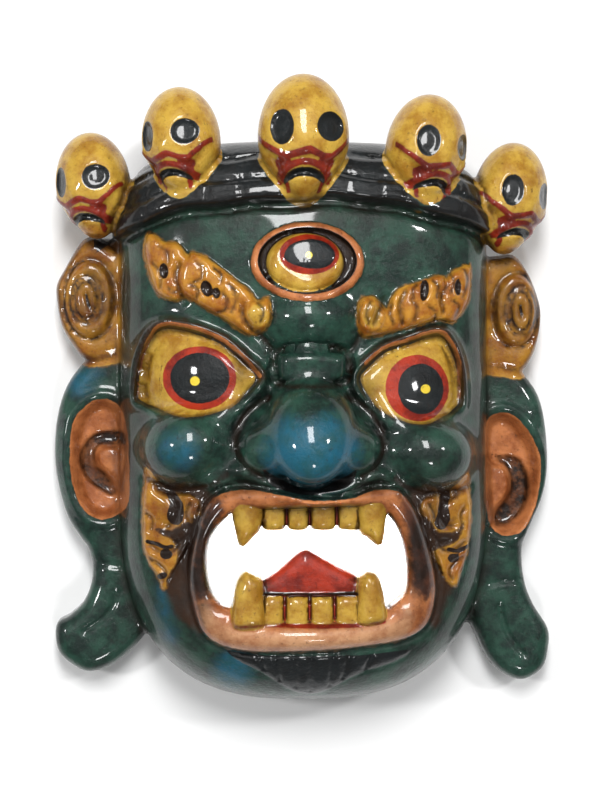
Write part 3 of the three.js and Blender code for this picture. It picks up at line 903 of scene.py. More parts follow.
def make_mouth() -> Mouth:
    """Set the teeth, fangs and tongue in the open mouth."""
    gap = Outline((
        (-44.8, -70.2), (-38.4, -61), (-31.5, -57.4), (-4.1, -55.6), (27.9, -55.6), (37.9, -61),
        (43, -72.5),
        (44.8, -86.2), (43.4, -95.3), (37, -100.4), (27.9, -105.8), (-4.1, -107.7), (-27, -106.8),
        (-33.4, -100.8),
        (-39.8, -99), (-44.4, -93), (-46.2, -81.6)))
    lips = Outline((
        (-51.7, -65.2), (-47.6, -53.9), (-40.8, -48), (-29.4, -45.7), (-13.5, -48), (2.4, -50.7),
        (18.3, -49.8),
        (29.7, -46.1), (41, -47), (49.2, -56.1), (55.6, -72.1), (59.7, -88), (59.2, -101.6), (54.7,
            -111.6),
        (43.3, -117.5), (18.3, -120.7), (-4.4, -122.1), (-27.1, -122.1), (-41.7, -118.9), (-49.9,
            -111.6),
        (-54.4, -97.1), (-55.3, -83.4)))
    fangs = (
        ((-21.7, -50), (-21.7, -64.1), (-25.1, -68.6), (-29.8, -73.4), (-32, -73), (-33.8, -66.1),
            (-35, -60), (-35, -50)),
        ((22.5, -50), (23.1, -66.1), (26.4, -69), (31.3, -73), (33.7, -72), (35, -64), (35.5, -50)),
        ((-34.8, -111), (-34.8, -99), (-33.1, -89.5), (-30.4, -84.8), (-28.2, -84.3), (-23.7,
            -86.1), (-21.3, -88.5), (-20.5, -98), (-20.5, -111)),
        ((22.5, -110), (22, -98), (23.8, -86.3), (28.3, -84.6), (31.7, -87), (33.8, -92.9), (35,
            -99.6), (34.8, -108)),
    )
    pillows = [Pillow(Outline(points, per=3), 50.0, 73.5, 7.0, 6.5) for points in fangs]
    for left, right in ((263, 285.5), (288.5, 308.5), (311.5, 335.5), (339, 360)):
        (x0, _), (x1, _) = px(69, left, 520, right, 520)
        pillows.append(Pillow(box_outline(x0, x1, -65.8, -50.0), 50.0, 70.0, 3.4, 3.2))
    for left, right in ((262.5, 283.5), (286.5, 308.5), (311.5, 333.5), (336.5, 359)):
        (x0, _), (x1, _) = px(69, left, 612, right, 612)
        pillows.append(Pillow(box_outline(x0, x1, -111.0, -95.8), 50.0, 69.5, 3.4, 3.2))
    pillows.append(Pillow(box_outline(-25, 25, -63.8, -50.0), 50.0, 66.0, 1.5, 2.0))
    pillows.append(Pillow(box_outline(-24, 24, -111.0, -99.0), 50.0, 66.0, 1.5, 2.0))
    pillows.append(Pillow(box_outline(-22, 23, -99.5, -95.6), 50.0, 64.0, 1.8, 1.6))
    tongue = Outline((
        (-23, -108), (-23.4, -92.0), (-15, -85.5), (-8.4, -79.5), (-3.7, -75.8), (-0.3, -75), (3.7,
            -77.1),
        (13.8, -82.8), (22.4, -87.6), (25, -95), (25, -108)), per=3)
    pillows.append(Pillow(tongue, 51.0, 62.5, 5.0, 7.0))
    return Mouth(gap, lips, pillows=tuple(pillows))


def mirrored_path(sign: int, points: Path) -> tuple[Point, ...]:
    """Turn points that are given outwards into points of one side."""
    return tuple((sign * x, y) for x, y in points)


def make_ears() -> tuple[Ear, Ear]:
    """Shape the two ears as the carver left them, not quite alike."""
    left = Ear(
        Outline(mirrored_path(-1, ((104.6, 11.7), (112.8, 0.7), (117.4, -13.7), (118.8, -30.4),
            (117.4, -44.8), (112.8, -61.6), (107, -71.2), (102.2, -78.4), (100.8, -90.4), (104.6,
            -102.3), (111.8, -109.5), (117.6, -112.9), (118.3, -121.5), (115.4, -128.7), (107,
            -134.9), (100.8, -136.2), (92.7, -133.5), (83.1, -126.3), (73.5, -112.9), (72, -80),
            (74, -20), (80, 22), (94, 19)))),
        Outline(px(EAR_Z, 74, 424, 84, 409, 96, 401, 110, 401, 121, 410, 127, 430, 129, 460, 129,
            495, 124, 508, 110, 517, 97, 517, 84, 508, 75, 488, 71, 460)),
        Outline(px(EAR_Z, 131, 448, 118, 445, 103, 445, 95, 453, 97, 466, 106, 474, 113, 485, 117, 497,
                   131, 502)),
        (Cut(px(22, 91, 563, 105, 564, 119, 566), 2.4, 1.5), Cut(px(22, 117, 592, 113, 606, 105,
            617, 96, 624, 84, 632), 2.4, 1.6)),
        Outline(px(EAR_Z, 127, 432, 102, 431, 86, 440, 78.5, 458, 83, 476, 95, 488, 109, 496, 116,
            495, 113, 484, 106, 473.6, 96.7, 465.5, 95, 452.6, 102, 445, 121, 446, 128, 444)))
    right = Ear(
        Outline(mirrored_path(1, ((103.9, 8.9), (113.5, -4.1), (117.3, -20.9), (117.8, -40), (114.9,
            -54.4), (108.7, -68.8), (105.8, -78.4), (106.8, -92.8), (111.1, -104.7), (118.4,
            -116.7), (118.6, -126.3), (115.7, -135.9), (106.3, -141.5), (96.7, -138.3), (89.5,
            -131.1), (83.8, -119.1), (80, -110), (73, -80), (75, -20), (82, 18), (95, 15)))),
        Outline(px(EAR_Z, 485, 425, 496, 414, 512, 416, 527, 432, 538, 455, 539, 480, 534, 508, 524,
            527, 511, 534, 498, 532, 488, 520, 484, 490, 483, 455)),
        Outline(px(EAR_Z, 482, 463, 498, 463, 505, 465, 510.7, 475, 511, 490, 505.5, 501, 497.4, 511,
                   495, 523, 482, 524)),
        (Cut(px(22, 491, 583, 505, 581, 521, 580), 2.4, 1.5), Cut(px(22, 500, 606, 504, 624, 512,
            640, 524, 655), 2.4, 1.6)),
        Outline(px(EAR_Z, 497, 456, 515, 456, 526, 465, 531, 482, 529, 501, 520, 517, 509, 525, 498,
            527, 495, 522, 497.4, 511, 505.5, 501, 511, 490, 510.7, 475, 505, 464.5, 498, 462)))
    return left, right


def make_discs() -> tuple[EarDisc, EarDisc]:
    """Shape the two ear discs."""
    left = EarDisc(
        Outline(mirrored_path(-1, ((114, 55.6), (105.9, 69), (98.3, 71.5), (90.1, 66), (82, 59.5),
            (78, 41.3), (80, 27), (86, 16), (97, 12.5), (104.9, 13.5), (110, 19.8), (115.4, 29.4),
            (117.6, 41.3), (117.6, 48.5)))),
        (oval_px(DISC_Z, 90, 299, 26, 40), oval_px(DISC_Z, 86, 300, 16, 24)),
        px(DISC_Z, 86, 295, 88, 303, 90, 309))
    right = EarDisc(
        Outline(mirrored_path(1, ((82, 59.5), (93.7, 62.9), (101.9, 62.8), (108.9, 53.3), (113.6,
            41.3), (114.4, 31.8), (112.3, 19.8), (108.4, 11), (103.3, 6.5), (96.1, 7.6), (86, 10),
            (79, 22.2), (79, 41.3)))),
        (oval_px(DISC_Z, 516, 310, 24, 38), oval_px(DISC_Z, 521, 311, 15.5, 25)),
        px(DISC_Z, 520, 306, 521, 312, 522, 317))
    return left, right


@dataclass
class CarvedForm:
    """The whole carving as one distance, less than 0 in the wood."""

    head: Head = field(default_factory=Head)
    band: CrownBand = field(default_factory=CrownBand)
    face: Face = field(default_factory=Face)
    mouth: Mouth = field(default_factory=make_mouth)
    ears: tuple[Ear, Ear] = field(default_factory=make_ears)
    discs: tuple[EarDisc, EarDisc] = field(default_factory=make_discs)
    skulls: tuple[Skull, ...] = SKULLS

    def distance(self, p: Points) -> Array:
        """Measure the distance from points to the wood's surface.

        Args:
            p: the points, in millimetres.

        Returns:
            The distance of each, less than 0 in the wood.
        """
        out = self.head.distance(p)
        front = ramp(p.z, 24.0, 44.0)
        above = self.band.above(p.x, p.y)
        under = -2.6 * bell(above + 2.0, 2.6)
        live = p.z > 20.0
        rise = np.zeros(out.shape)
        q = p.some(live)
        rise[live] = self.face.rise(q.x, q.y) + self.mouth.rise(q.x, q.y)
        out = out - (rise + under) * front * (1.0 - ramp(above, -1.0, 1.0)) - self.band.rise(p)
        for ball in self.face.balls:
            near = ball.near(p)
            out[near] = soft_min(out[near], ball.distance(p.some(near)), ball.blend)
        lean = 0.13 * np.clip(66.0 - p.z, 0.0, 20.0) * ramp(p.x, 0.0, 30.0)
        gap = self.mouth.gap.inside(p.x - lean, p.y)
        out = soft_max(out, np.where(p.z > 30.0, gap, -FAR), 3.4)
        for form in self.discs + self.ears:
            away = np.abs(p.x) > 66.0
            out[away] = soft_min(out[away], form.distance(p.some(away)), 2.4)
        for skull in self.skulls:
            near = skull.near(p)
            out[near] = soft_min(out[near], skull.distance(p.some(near)), 2.2)
        out = soft_max(out, -self.head.distance(p, self.head.wall), 1.6)
        for pillow in self.mouth.pillows:
            near = pillow.near(p)
            out[near] = soft_min(out[near], pillow.distance(p.some(near)), pillow.blend)
        return soft_max(out, -p.z, 0.5)


def to_points(co: Array) -> Points:
    """Split an array of places into its three directions."""
    return Points(co[:, 0].copy(), co[:, 1].copy(), co[:, 2].copy())


def read(items: object, name: str, width: int = 3, kind: type = float) -> Array:
    """Read a property of every point, edge or face of a mesh, as rows."""
    out = np.empty(len(items) * width, dtype=kind)
    items.foreach_get(name, out)
    return out.reshape(-1, width)


def added(name: str, data: bpy.types.ID) -> bpy.types.Object:
    """Add an object to the scene."""
    made = bpy.data.objects.new(name, data)
    bpy.context.scene.collection.objects.link(made)
    return made


def mesh_from(work: bmesh.types.BMesh, name: str) -> bpy.types.Mesh:
    """Turn a mesh that was worked on into one to show."""
    mesh = bpy.data.meshes.new(name)
    work.to_mesh(mesh)
    work.free()
    return mesh


@dataclass
class Carver:
    """Draws a mesh onto the carved form.

    Attributes:
        form: the carved form.
        unit: one of its millimetres, in metres.
        low, high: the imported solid's box, which the points are kept in.
        voxel: the size of the even faces, in millimetres.
        rounds: how often the points are moved onto the form.
        evenings: how often they are evened out in each round.
        budget: the most triangles.
        most: the longest move of a point in one round, in millimetres.
        joined: points nearer than this are joined, in metres.
        shades: in how many steps plainness is handed to the thinning.
        sparing: how strongly finely carved places are spared from it.
        sharp: edges sharper than this many degrees are shown sharp.
    """

    form: CarvedForm
    unit: float
    low: Vector
    high: Vector
    voxel: float = 1.15
    rounds: int = 8
    evenings: int = 5
    budget: int = 190_000
    most: float = 2.0
    joined: float = 1e-6
    shades: int = 10
    sparing: float = 60.0
    sharp: float = 62.0

    def merged_copy(self, node: bpy.types.Object) -> bpy.types.Object:
        """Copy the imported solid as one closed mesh."""
        work = bmesh.new()
        work.from_mesh(node.data)
        bmesh.ops.remove_doubles(work, verts=work.verts, dist=self.joined)
        bmesh.ops.triangulate(work, faces=work.faces)
        return added("carved_mask", mesh_from(work, "carved_mask"))

    def applied(self, piece: bpy.types.Object) -> None:
        """Make a piece's modifiers part of its mesh."""
        graph = bpy.context.evaluated_depsgraph_get()
        mesh = bpy.data.meshes.new_from_object(piece.evaluated_get(graph))
        piece.modifiers.clear()
        old, piece.data = piece.data, mesh
        bpy.data.meshes.remove(old)

    def remesh(self, piece: bpy.types.Object) -> None:
        """Cover the piece evenly with small faces."""
        modifier = piece.modifiers.new("even", "REMESH")
        modifier.mode = "VOXEL"
        modifier.voxel_size = self.voxel * self.unit
        modifier.adaptivity = 0.0
        self.applied(piece)

    def places(self, mesh: bpy.types.Mesh) -> Array:
        """Read a mesh's points in millimetres."""
        return read(mesh.vertices, "co") / self.unit - LIFT

    def store(self, mesh: bpy.types.Mesh, co: Array) -> None:
        """Write a mesh's points, given in millimetres, and keep them in the solid's box."""
        mesh.vertices.foreach_set("co", np.clip((co + LIFT) * self.unit, self.low, self.high).ravel())
        mesh.update()

    def average(self, values: Array, ends: Array, count: Array) -> Array:
        """Average a value over the neighbours of every point."""
        n = len(values)
        first, second = ends.T
        sums = [np.bincount(first, value[second], n) + np.bincount(second, value[first], n)
                for value in values.T]
        return np.stack(sums, 1) / count[:, None]

    def slope(self, co: Array, here: Array, e: float = 0.12) -> Array:
        """Measure how the distance grows in each direction."""
        out = np.empty_like(co)
        for axis in range(3):
            step = co.copy()
            step[:, axis] += e
            out[:, axis] = (self.form.distance(to_points(step)) - here) / e
        return out

    def draw_on(self, mesh: bpy.types.Mesh) -> None:
        """Move every point of a mesh onto the carved form, keeping the faces even."""
        co, ends = self.places(mesh), read(mesh.edges, "vertices", 2, np.int64)
        count = np.maximum(np.bincount(ends.ravel(), minlength=len(co)), 1)
        for turn in range(self.rounds):
            here = self.form.distance(to_points(co))
            slope = self.slope(co, here)
            steep = np.maximum((slope ** 2).sum(1), 0.16)
            step = (here / steep)[:, None] * slope
            size = np.linalg.norm(step, axis=1)
            step *= (np.minimum(1.0, self.most / np.maximum(size, 1e-9)))[:, None]
            co = co - step
            LOG.info("round %d: mean distance %.3f mm", turn, float(np.abs(here).mean()))
            if turn < self.rounds - 2:
                normal = slope / np.sqrt(steep)[:, None]
                for _ in range(self.evenings):
                    pull = self.average(co, ends, count) - co
                    pull -= (pull * normal).sum(1)[:, None] * normal
                    co = co + 0.5 * pull
        self.store(mesh, co)

    def plainness(self, co: Array, normal: Array) -> Array:
        """Give 1 where nothing is carved or painted finely, and 0 along every painted edge."""
        edges = Brushwork(self.form).layers(to_points(co))
        near = np.min([np.abs(values) for layer, values in edges.items() if layer is not Layer.WASH],
                      axis=0)
        behind = ramp(-normal[:, 2], -0.2, 0.3) * ramp(co[:, 2], 62.0, 55.0)
        return np.clip(np.maximum(ramp(near, 1.2, 4.0) * 0.6, behind), 0.0, 1.0)

    def triangles(self, mesh: bpy.types.Mesh) -> int:
        """Count a mesh's triangles."""
        return sum(len(face.vertices) - 2 for face in mesh.polygons)

    def thin(self, piece: bpy.types.Object) -> None:
        """Take faces out where the surface is plain, until the budget is met."""
        triangles = self.triangles(piece.data)
        if triangles > self.budget:
            co = self.places(piece.data)
            plain = self.plainness(co, read(piece.data.vertices, "normal"))
            group = piece.vertex_groups.new(name="plain")
            for step in range(1, self.shades + 1):
                chosen = np.flatnonzero(np.ceil(plain * self.shades) == step)
                group.add(chosen.tolist(), step / self.shades, "REPLACE")
            modifier = piece.modifiers.new("thin", "DECIMATE")
            modifier.ratio = self.budget / triangles
            modifier.vertex_group = group.name
            modifier.vertex_group_factor = self.sparing
            self.applied(piece)
            piece.vertex_groups.clear()
        LOG.info("carved_mask: %d triangles, thinned to %d", triangles, self.triangles(piece.data))

    def carve(self, node: bpy.types.Object) -> bpy.types.Object:
        """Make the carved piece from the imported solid."""
        piece = self.merged_copy(node)
        self.remesh(piece)
        self.draw_on(piece.data)
        self.thin(piece)
        self.store(piece.data, self.places(piece.data))
        piece.data.polygons.foreach_set("use_smooth", [True] * len(piece.data.polygons))
        piece.data.set_sharp_from_angle(angle=math.radians(self.sharp))
        return piece


class Layer(Enum):
    """The painted layers, from the lowest to the highest, and four maps: the recesses and the hollows,
    where the paint is darkened for brown wash and painted shade, the rubbed edges, and the brown wash
    with painted shade laid into it.
    """

    BLUE = "blue"
    BROWN = "brown"
    GOLD = "gold"
    AMBER = "amber"
    ORANGE = "orange"
    UMBER = "umber"
    FLESH = "flesh"
    RED = "red"
    BLACK = "black"
    INK = "ink"
    DOT = "dot"
    CAVITY = "cavity"
    HOLLOW = "hollow"
    WEAR = "wear"
    # brown wash, with painted shade laid into the same map
    WASH = "wash"


@dataclass
class Brushwork:
    """Where each colour lies, as a distance inwards from its edge in millimetres."""

    form: CarvedForm
    lowest: float = 16.0

    def union(self, p: Points, shapes: Sequence[Shape], grow: float = 0.0) -> Array:
        """Join flat painted forms, each grown by a little."""
        out = np.full(p.x.shape, OUTSIDE)
        for shape in shapes:
            out = np.maximum(out, shape.inside(p.x, p.y) + grow)
        return out

    def skull_paint(self, p: Points) -> tuple[Array, Array, Array]:
        """Paint the skulls: their bone, red lines and black holes."""
        n = len(p.x)
        bone, red, black = (np.full(n, OUTSIDE) for _ in range(3))
        for skull in self.form.skulls:
            near = skull.near(p, 4.0)
            q = p.some(near)
            u, v, w = skull.local(q)
            size = 0.5 * (skull.wide + skull.high)
            face = np.where(w > 0.1, 0.0, -3.0)
            bone[near] = np.maximum(bone[near], 2.6 - skull.distance(q) - 2.6 * ramp(-w, 0.35, 0.8))
            line = skull.cheek_line(u)
            wave = (0.062 - 0.02 * np.abs(u) - np.abs(v - line)) * size + face
            arch = (0.052 - np.abs(skull.lip(u, v))) * size + face - 3.0 * ramp(-v, 0.72, 0.84)
            corner = 1.0 - oval_reach(np.abs(u), v, (0.46, -0.44), (0.16, 0.11))
            meet = corner * 0.11 * size + face
            red[near] = np.maximum.reduce([red[near], wave, arch, meet])
            for ex, ey, rx, ry in skull.sockets:
                hole = (1.0 - oval_reach(u, v, (ex, ey), (rx, ry))) * rx * size + face
                black[near] = np.maximum(black[near], hole)
            black[near] = np.maximum(black[near], skull.mouth(u, v) * size + face)
            for sign in (-1, 1):
                jaw = 0.042 - np.abs(skull.jaw_line(u, v, sign))
                span = np.minimum(-v - 0.40, v + 0.90)
                red[near] = np.maximum(red[near], np.minimum(jaw, span) * size + face)
        return bone, red, black

    def mouth_paint(self, p: Points) -> tuple[Array, Array, Array]:
        """Paint the mouth: its teeth, its tongue and gums, and the wood behind them."""
        n = len(p.x)
        teeth, tongue = np.full(n, OUTSIDE), np.full(n, OUTSIDE)
        pillows = self.form.mouth.pillows
        for form in pillows:
            near = form.near(p)
            q = p.some(near)
            target = tongue if form is pillows[-1] or form in pillows[12:15] else teeth
            target[near] = np.maximum(target[near], 0.8 - form.distance(q))
        gap = self.form.mouth.gap.inside(p.x, p.y) - 1.5
        return teeth, np.minimum(tongue, 3.0 - np.maximum(teeth, -3.0) * 3.0), gap

    def layers(self, p: Points) -> dict[Layer, Array]:
        """Measure every layer of paint at every point."""
        form, face = self.form, self.form.face
        high = np.where(p.z > self.lowest, 0.0, OUTSIDE)
        bone, red_line, hole = self.skull_paint(p)
        teeth, tongue, gap = self.mouth_paint(p)
        discs = np.maximum(*(
            np.where(p.z > 2.0, d.outline.inside(p.x, p.y) + 3.0, OUTSIDE) for d in form.discs))
        discs = np.minimum(discs, (np.abs(p.x) - 87.0))
        above = form.band.above(p.x, p.y)
        head = form.head.distance(p) < 12.0
        plates = [relief for relief in face.reliefs if isinstance(relief, Plate)]
        flames = tuple(plate.shape for plate in plates if plate.height == FLAME_HEIGHT)
        openings = [eye.opening for eye in face.eyes]
        gold = self.union(p, (*face.brows, *openings, THIRD_BALL, *flames)) + high
        bare = self.union(p, BARE_PATCHES)
        gold = np.minimum(gold, -bare)
        gold = np.maximum(np.maximum(gold, bone), np.maximum(teeth, discs))
        amber = np.minimum(self.union(p, (*face.brows, *flames)) + high,
                           -self.union(p, BROW_ENDS) + 2.0)
        amber = np.maximum(np.minimum(amber, -bare), discs)
        rim = np.minimum(THIRD_RIM.inside(p.x, p.y), -THIRD_SOCKET.inside(p.x, p.y))
        lips = np.minimum(form.mouth.lips.inside(p.x, p.y) - 1.2, 2.5 - gap)
        lips = np.minimum(lips, 0.2 - np.maximum(teeth, tongue))
        lids = self.union(p, [Stroke(line, 1.6) for line in LID_LINES])
        folds = self.union(p, [Stroke(line, 5.4) for line in LID_LINES])
        bowls = self.union(p, [ear.bowl for ear in form.ears], 0.5)
        bowls = np.where(p.z > 6.0, bowls, OUTSIDE)
        orange = np.maximum(np.maximum(rim, lips), lids) + high
        orange = np.maximum(orange, bowls)
        flesh = np.minimum(lips, self.union(p, (FLESH_PATCH,)))
        umber = np.minimum(self.union(p, UMBER_PATCHES) + high, lips)
        rings = [np.minimum(eye.iris.inside(p.x, p.y), eye.opening.inside(p.x, p.y) + 0.5)
                 for eye in face.eyes]
        red = np.maximum.reduce([*rings, THIRD_RING.inside(p.x, p.y)]) + high
        foot = LIP_FOOT.inside(p.x, p.y)
        foot_line = np.where(p.z > 55.0, np.minimum(foot, 0.8 - teeth), OUTSIDE)
        red = np.maximum.reduce([red, red_line, tongue, foot_line])
        pupils = self.union(p, (*(eye.pupil for eye in face.eyes), THIRD_PUPIL)) + high
        band = np.where(head, above + 0.6, OUTSIDE)
        band = np.minimum(band, -bone - 0.4)
        beard = self.union(p, (Outline(BEARD, per=2),)) + high
        # the black crescent under the nose, a painted shadow
        nose_shadow = self.union(p, (NOSE_SHADOW,)) + high
        black = np.maximum.reduce([hole, pupils, band, beard, nose_shadow,
                                   np.where(p.z < 0.4, 4.0, OUTSIDE)])
        slits = [Stroke(d.slit, 1.4) for d in form.discs]
        pits = [plate.shape for plate in plates if -3.0 < plate.height < 0]
        ink = self.union(p, slits + pits + list(COMMAS))
        ink = np.where(p.z > 8.0, ink, OUTSIDE)
        groove = oval_px(72, 307.5, 260.5, 50, 34).inside(p.x, p.y)
        groove = np.minimum(groove, -THIRD_BALL.inside(p.x, p.y))
        ink = np.maximum(ink, groove + high)
        inside_mouth = np.minimum(gap + 2.0, 0.5 - np.maximum(teeth, tongue))
        ink = np.maximum(ink, np.where(p.z > 5.0, inside_mouth, OUTSIDE))
        dots = self.union(p, (*(eye.dot for eye in face.eyes), THIRD_DOT)) + high
        blue = self.union(p, BLUE_PATCHES) + high * 0.5
        brown = np.maximum(folds, self.union(p, BROWN_PATCHES)) + high
        return {Layer.BLUE: blue, Layer.BROWN: brown, Layer.GOLD: gold, Layer.AMBER: amber,
                Layer.ORANGE: orange, Layer.UMBER: umber,
                Layer.FLESH: flesh, Layer.RED: red, Layer.BLACK: black, Layer.INK: ink, Layer.DOT: dots,
                Layer.WASH: self.wash(p, bone, np.maximum(teeth, tongue), np.maximum(red_line, foot))}

    def wash(self, p: Points, bone: Array, mouth: Array, red: Array) -> Array:
        """Give how thickly the brown wash lies on each part of the face; the same map also holds
        painted shade.
        """
        head = self.form.head
        out = np.zeros(p.x.shape)
        for x, y, wide, high, depth in WASH_AND_SHADE_SPOTS:
            out = np.maximum(out, Swell(x, y, wide, high, depth).rise(p.x, p.y))
        # darker near the head's outline and towards the back: brown wash with painted shade on the
        # sides
        reach = head.reach(p.x, p.y, 0.0)
        sides = ramp(reach, 0.94, 1.0) * ramp(reach, 1.05, 1.01) * ramp(p.z, 70.0, 20.0) * 0.5
        out = np.maximum(out, np.where(bone > 0, 0.0, sides))
        # painted shade round the rim of the mouth opening
        opening = self.form.mouth.gap.inside(p.x, p.y)
        edge = 0.8 * ramp(opening, -3.0, -0.4) * ramp(mouth, -0.2, -1.2)
        # a little wash on all the teeth and the tongue, darker towards the top of the upper teeth as
        # painted shade under the upper lip
        stained = 0.08 + 0.34 * ramp(p.y, -67.0, -52.0)
        out = np.maximum(np.where(mouth > -0.6, stained, out), edge * ramp(p.z, 30.0, 40.0))
        out = np.maximum(out, 0.5 * ramp(red, -1.0, 0.3))
        lids = self.union(p, [Stroke(eye.opening.points, 1.8, True) for eye in self.form.face.eyes])
        out = np.maximum(out, 0.75 * ramp(lids, -0.9, 0.5) * ramp(p.z, 30.0, 40.0))
        lines = [Stroke(relief.path, 0.5 * relief.width + 0.2, relief.closed)
                 for relief in self.form.face.reliefs if isinstance(relief, Cut) and relief.inked]
        out = np.maximum(out, 0.85 * ramp(self.union(p, lines), -0.7, 0.5))
        # painted shade in the ear folds
        folds = self.union(p, [ear.fold for ear in self.form.ears])
        out = np.maximum(out, np.where(p.z > 5.0, ramp(folds, -0.8, 1.2), 0.0))
        for disc in self.form.discs:
            outer, inner = disc.rings[0].inside(p.x, p.y), disc.rings[1].inside(p.x, p.y)
            rings = np.minimum(np.minimum(np.abs(outer), np.abs(inner)), np.abs(inner - 2.6))
            rim = ramp(disc.outline.inside(p.x, p.y), 3.6, 1.2) * ramp(p.z, 14.0, 19.0)
            here = (p.z > 8.0) & (outer > -11.0) & (np.abs(p.x) > 86.0)
            out = np.where(here, np.maximum(out, np.maximum(ramp(rings, 1.5, 0.3), 0.7 * rim)), out)
        return np.clip(out, 0.0, 1.0)

    def wear(self, co: Array, normal: Array) -> dict[Layer, Array]:
        """Measure the recesses and hollows, where the paint is darkened for brown wash and painted
        shade, and where the edges are rubbed.
        """
        def beyond(step: float) -> Array:
            """Give the share of open space a step out from the surface, or of wood a step in."""
            return np.clip(self.form.distance(to_points(co + normal * step)) / step, -0.5, 1.5)

        cavity = 1.0 - 0.5 * (beyond(1.6) + beyond(3.2))
        return {Layer.CAVITY: np.clip(cavity, 0.0, 1.0),
                # how shut in a point is, 8 mm out: it darkens the paint only as painted shade
                Layer.HOLLOW: np.clip(1.0 - beyond(8.0), 0.0, 1.0),
                Layer.WEAR: np.clip(1.0 - beyond(-1.8), 0.0, 1.0)}

    def lay_on(self, piece: bpy.types.Object, unit: float) -> None:
        """Store every layer on the piece's points."""
        mesh = piece.data
        co = read(mesh.vertices, "co") / unit - LIFT
        maps = {**self.layers(to_points(co)), **self.wear(co, read(mesh.vertices, "normal"))}
        for layer, values in maps.items():
            attribute = mesh.attributes.new(layer.value, "FLOAT", "POINT")
            attribute.data.foreach_set("value", np.clip(values, -6.0, 6.0).astype(np.float32))


class Sockets:
    """A short way to add and join shader nodes."""

    def __init__(self, tree: bpy.types.NodeTree) -> None:
        """Work on one node tree."""
        self.tree = tree

    def node(self, kind: str, **settings: object) -> bpy.types.Node:
        """Add a node, with settings by name."""
        made = self.tree.nodes.new(kind)
        for name, value in settings.items():
            setattr(made, name, value)
        return made

    def feed(self, socket: bpy.types.NodeSocket, value: object) -> None:
        """Join a socket to another node's output, or set its value."""
        if isinstance(value, bpy.types.NodeSocket):
            self.tree.links.new(value, socket)
        else:
            socket.default_value = value

    def math(self, operation: str, *values: object, clamp: bool = False) -> bpy.types.NodeSocket:
        """Add a Math node and give its output."""
        made = self.node("ShaderNodeMath", operation=operation, use_clamp=clamp)
        for socket, value in zip(made.inputs, values):
            self.feed(socket, value)
        return made.outputs[0]

    def mix(self, share: object, first: object, second: object) -> bpy.types.NodeSocket:
        """Mix two colours."""
        made = self.node("ShaderNodeMix", data_type="RGBA", clamp_factor=True)
        for socket, value in ((made.inputs[0], share), (made.inputs[6], first),
                              (made.inputs[7], second)):
            self.feed(socket, value)
        return made.outputs[2]

    def noise(self, where: object, scale: float, detail: float = 2.0,
              rough: float = 0.5) -> bpy.types.NodeSocket:
        """Add a Noise node and give its grey output."""
        made = self.node("ShaderNodeTexNoise", noise_dimensions="3D")
        for name, value in (("Vector", where), ("Scale", scale), ("Detail", detail),
                            ("Roughness", rough)):
            self.feed(made.inputs[name], value)
        return made.outputs[0]

    def span(self, value: object, low: float, high: float, to_low: float = 0.0,
             to_high: float = 1.0) -> bpy.types.NodeSocket:
        """Map a value smoothly from one range to another."""
        made = self.node("ShaderNodeMapRange", interpolation_type="SMOOTHSTEP")
        for socket, number in zip(made.inputs[:5], (value, low, high, to_low, to_high)):
            self.feed(socket, number)
        return made.outputs[0]


def rgb(code: str) -> tuple[float, float, float, float]:
    """Turn a colour code into the renderer's linear colour."""
    parts = [int(code[i:i + 2], 16) / 255.0 for i in (0, 2, 4)]
    return (*((c / 12.92 if c <= 0.04045 else ((c + 0.055) / 1.055) ** 2.4) for c in parts), 1.0)


@dataclass(frozen=True)
class Paint:
    """One of the mask's paints: its thick coat, its thin coat, and its dark tone in recesses for brown
    wash and painted shade.
    """

    layer: Layer
    thick: str
    thin: str
    dirt_and_shade: str
    wobble: float = 0.8
    soft: float = 0.22


# the third colour of each paint is its dark tone in recesses and hollows: brown wash and painted shade
GROUND = Paint(Layer.CAVITY, "10221d", "254639", "080b0a")
PAINTS = (
    Paint(Layer.BLUE, "17586e", "184a50", "0a1616", 3.0, 5.6),
    Paint(Layer.BROWN, "38210f", "2c2018", "0c0705", 2.0, 2.0),
    Paint(Layer.GOLD, "c29c3c", "986a1a", "3c240a", 0.6),
    Paint(Layer.AMBER, "bc842a", "925216", "341a08", 1.6, 1.2),
    Paint(Layer.ORANGE, "c27a48", "8c4c26", "2c1408", 0.7),
    Paint(Layer.UMBER, "42241a", "683a24", "1c0c06", 3.4, 2.2),
    Paint(Layer.FLESH, "c4926a", "a06844", "3c1c0c", 3.0, 2.4),
    Paint(Layer.RED, "a83018", "6c180e", "240805", 0.4),
    Paint(Layer.BLACK, "0a0d0e", "12181a", "040404", 0.4),
    Paint(Layer.INK, "22130a", "180d07", "080504", 0.35),
    Paint(Layer.DOT, "e6cf3c", "d8b830", "a07818", 0.2),
)


def new_group(name: str, inputs: dict[str, float | None],
              outputs: dict[str, str]) -> bpy.types.NodeTree:
    """Start a node group.

    Args:
        name: its name.
        inputs: the value of each number it takes, or None where it takes a colour.
        outputs: the kind of each value it gives, Color or Float.

    Returns:
        The group, with its inputs and outputs.
    """
    group = bpy.data.node_groups.new(name, "ShaderNodeTree")
    for label, value in inputs.items():
        kind = "NodeSocketColor" if value is None else "NodeSocketFloat"
        made = group.interface.new_socket(name=label, in_out="INPUT", socket_type=kind)
        if value is not None:
            made.default_value = value
    for label, kind in outputs.items():
        group.interface.new_socket(name=label, in_out="OUTPUT", socket_type="NodeSocket" + kind)
    return group


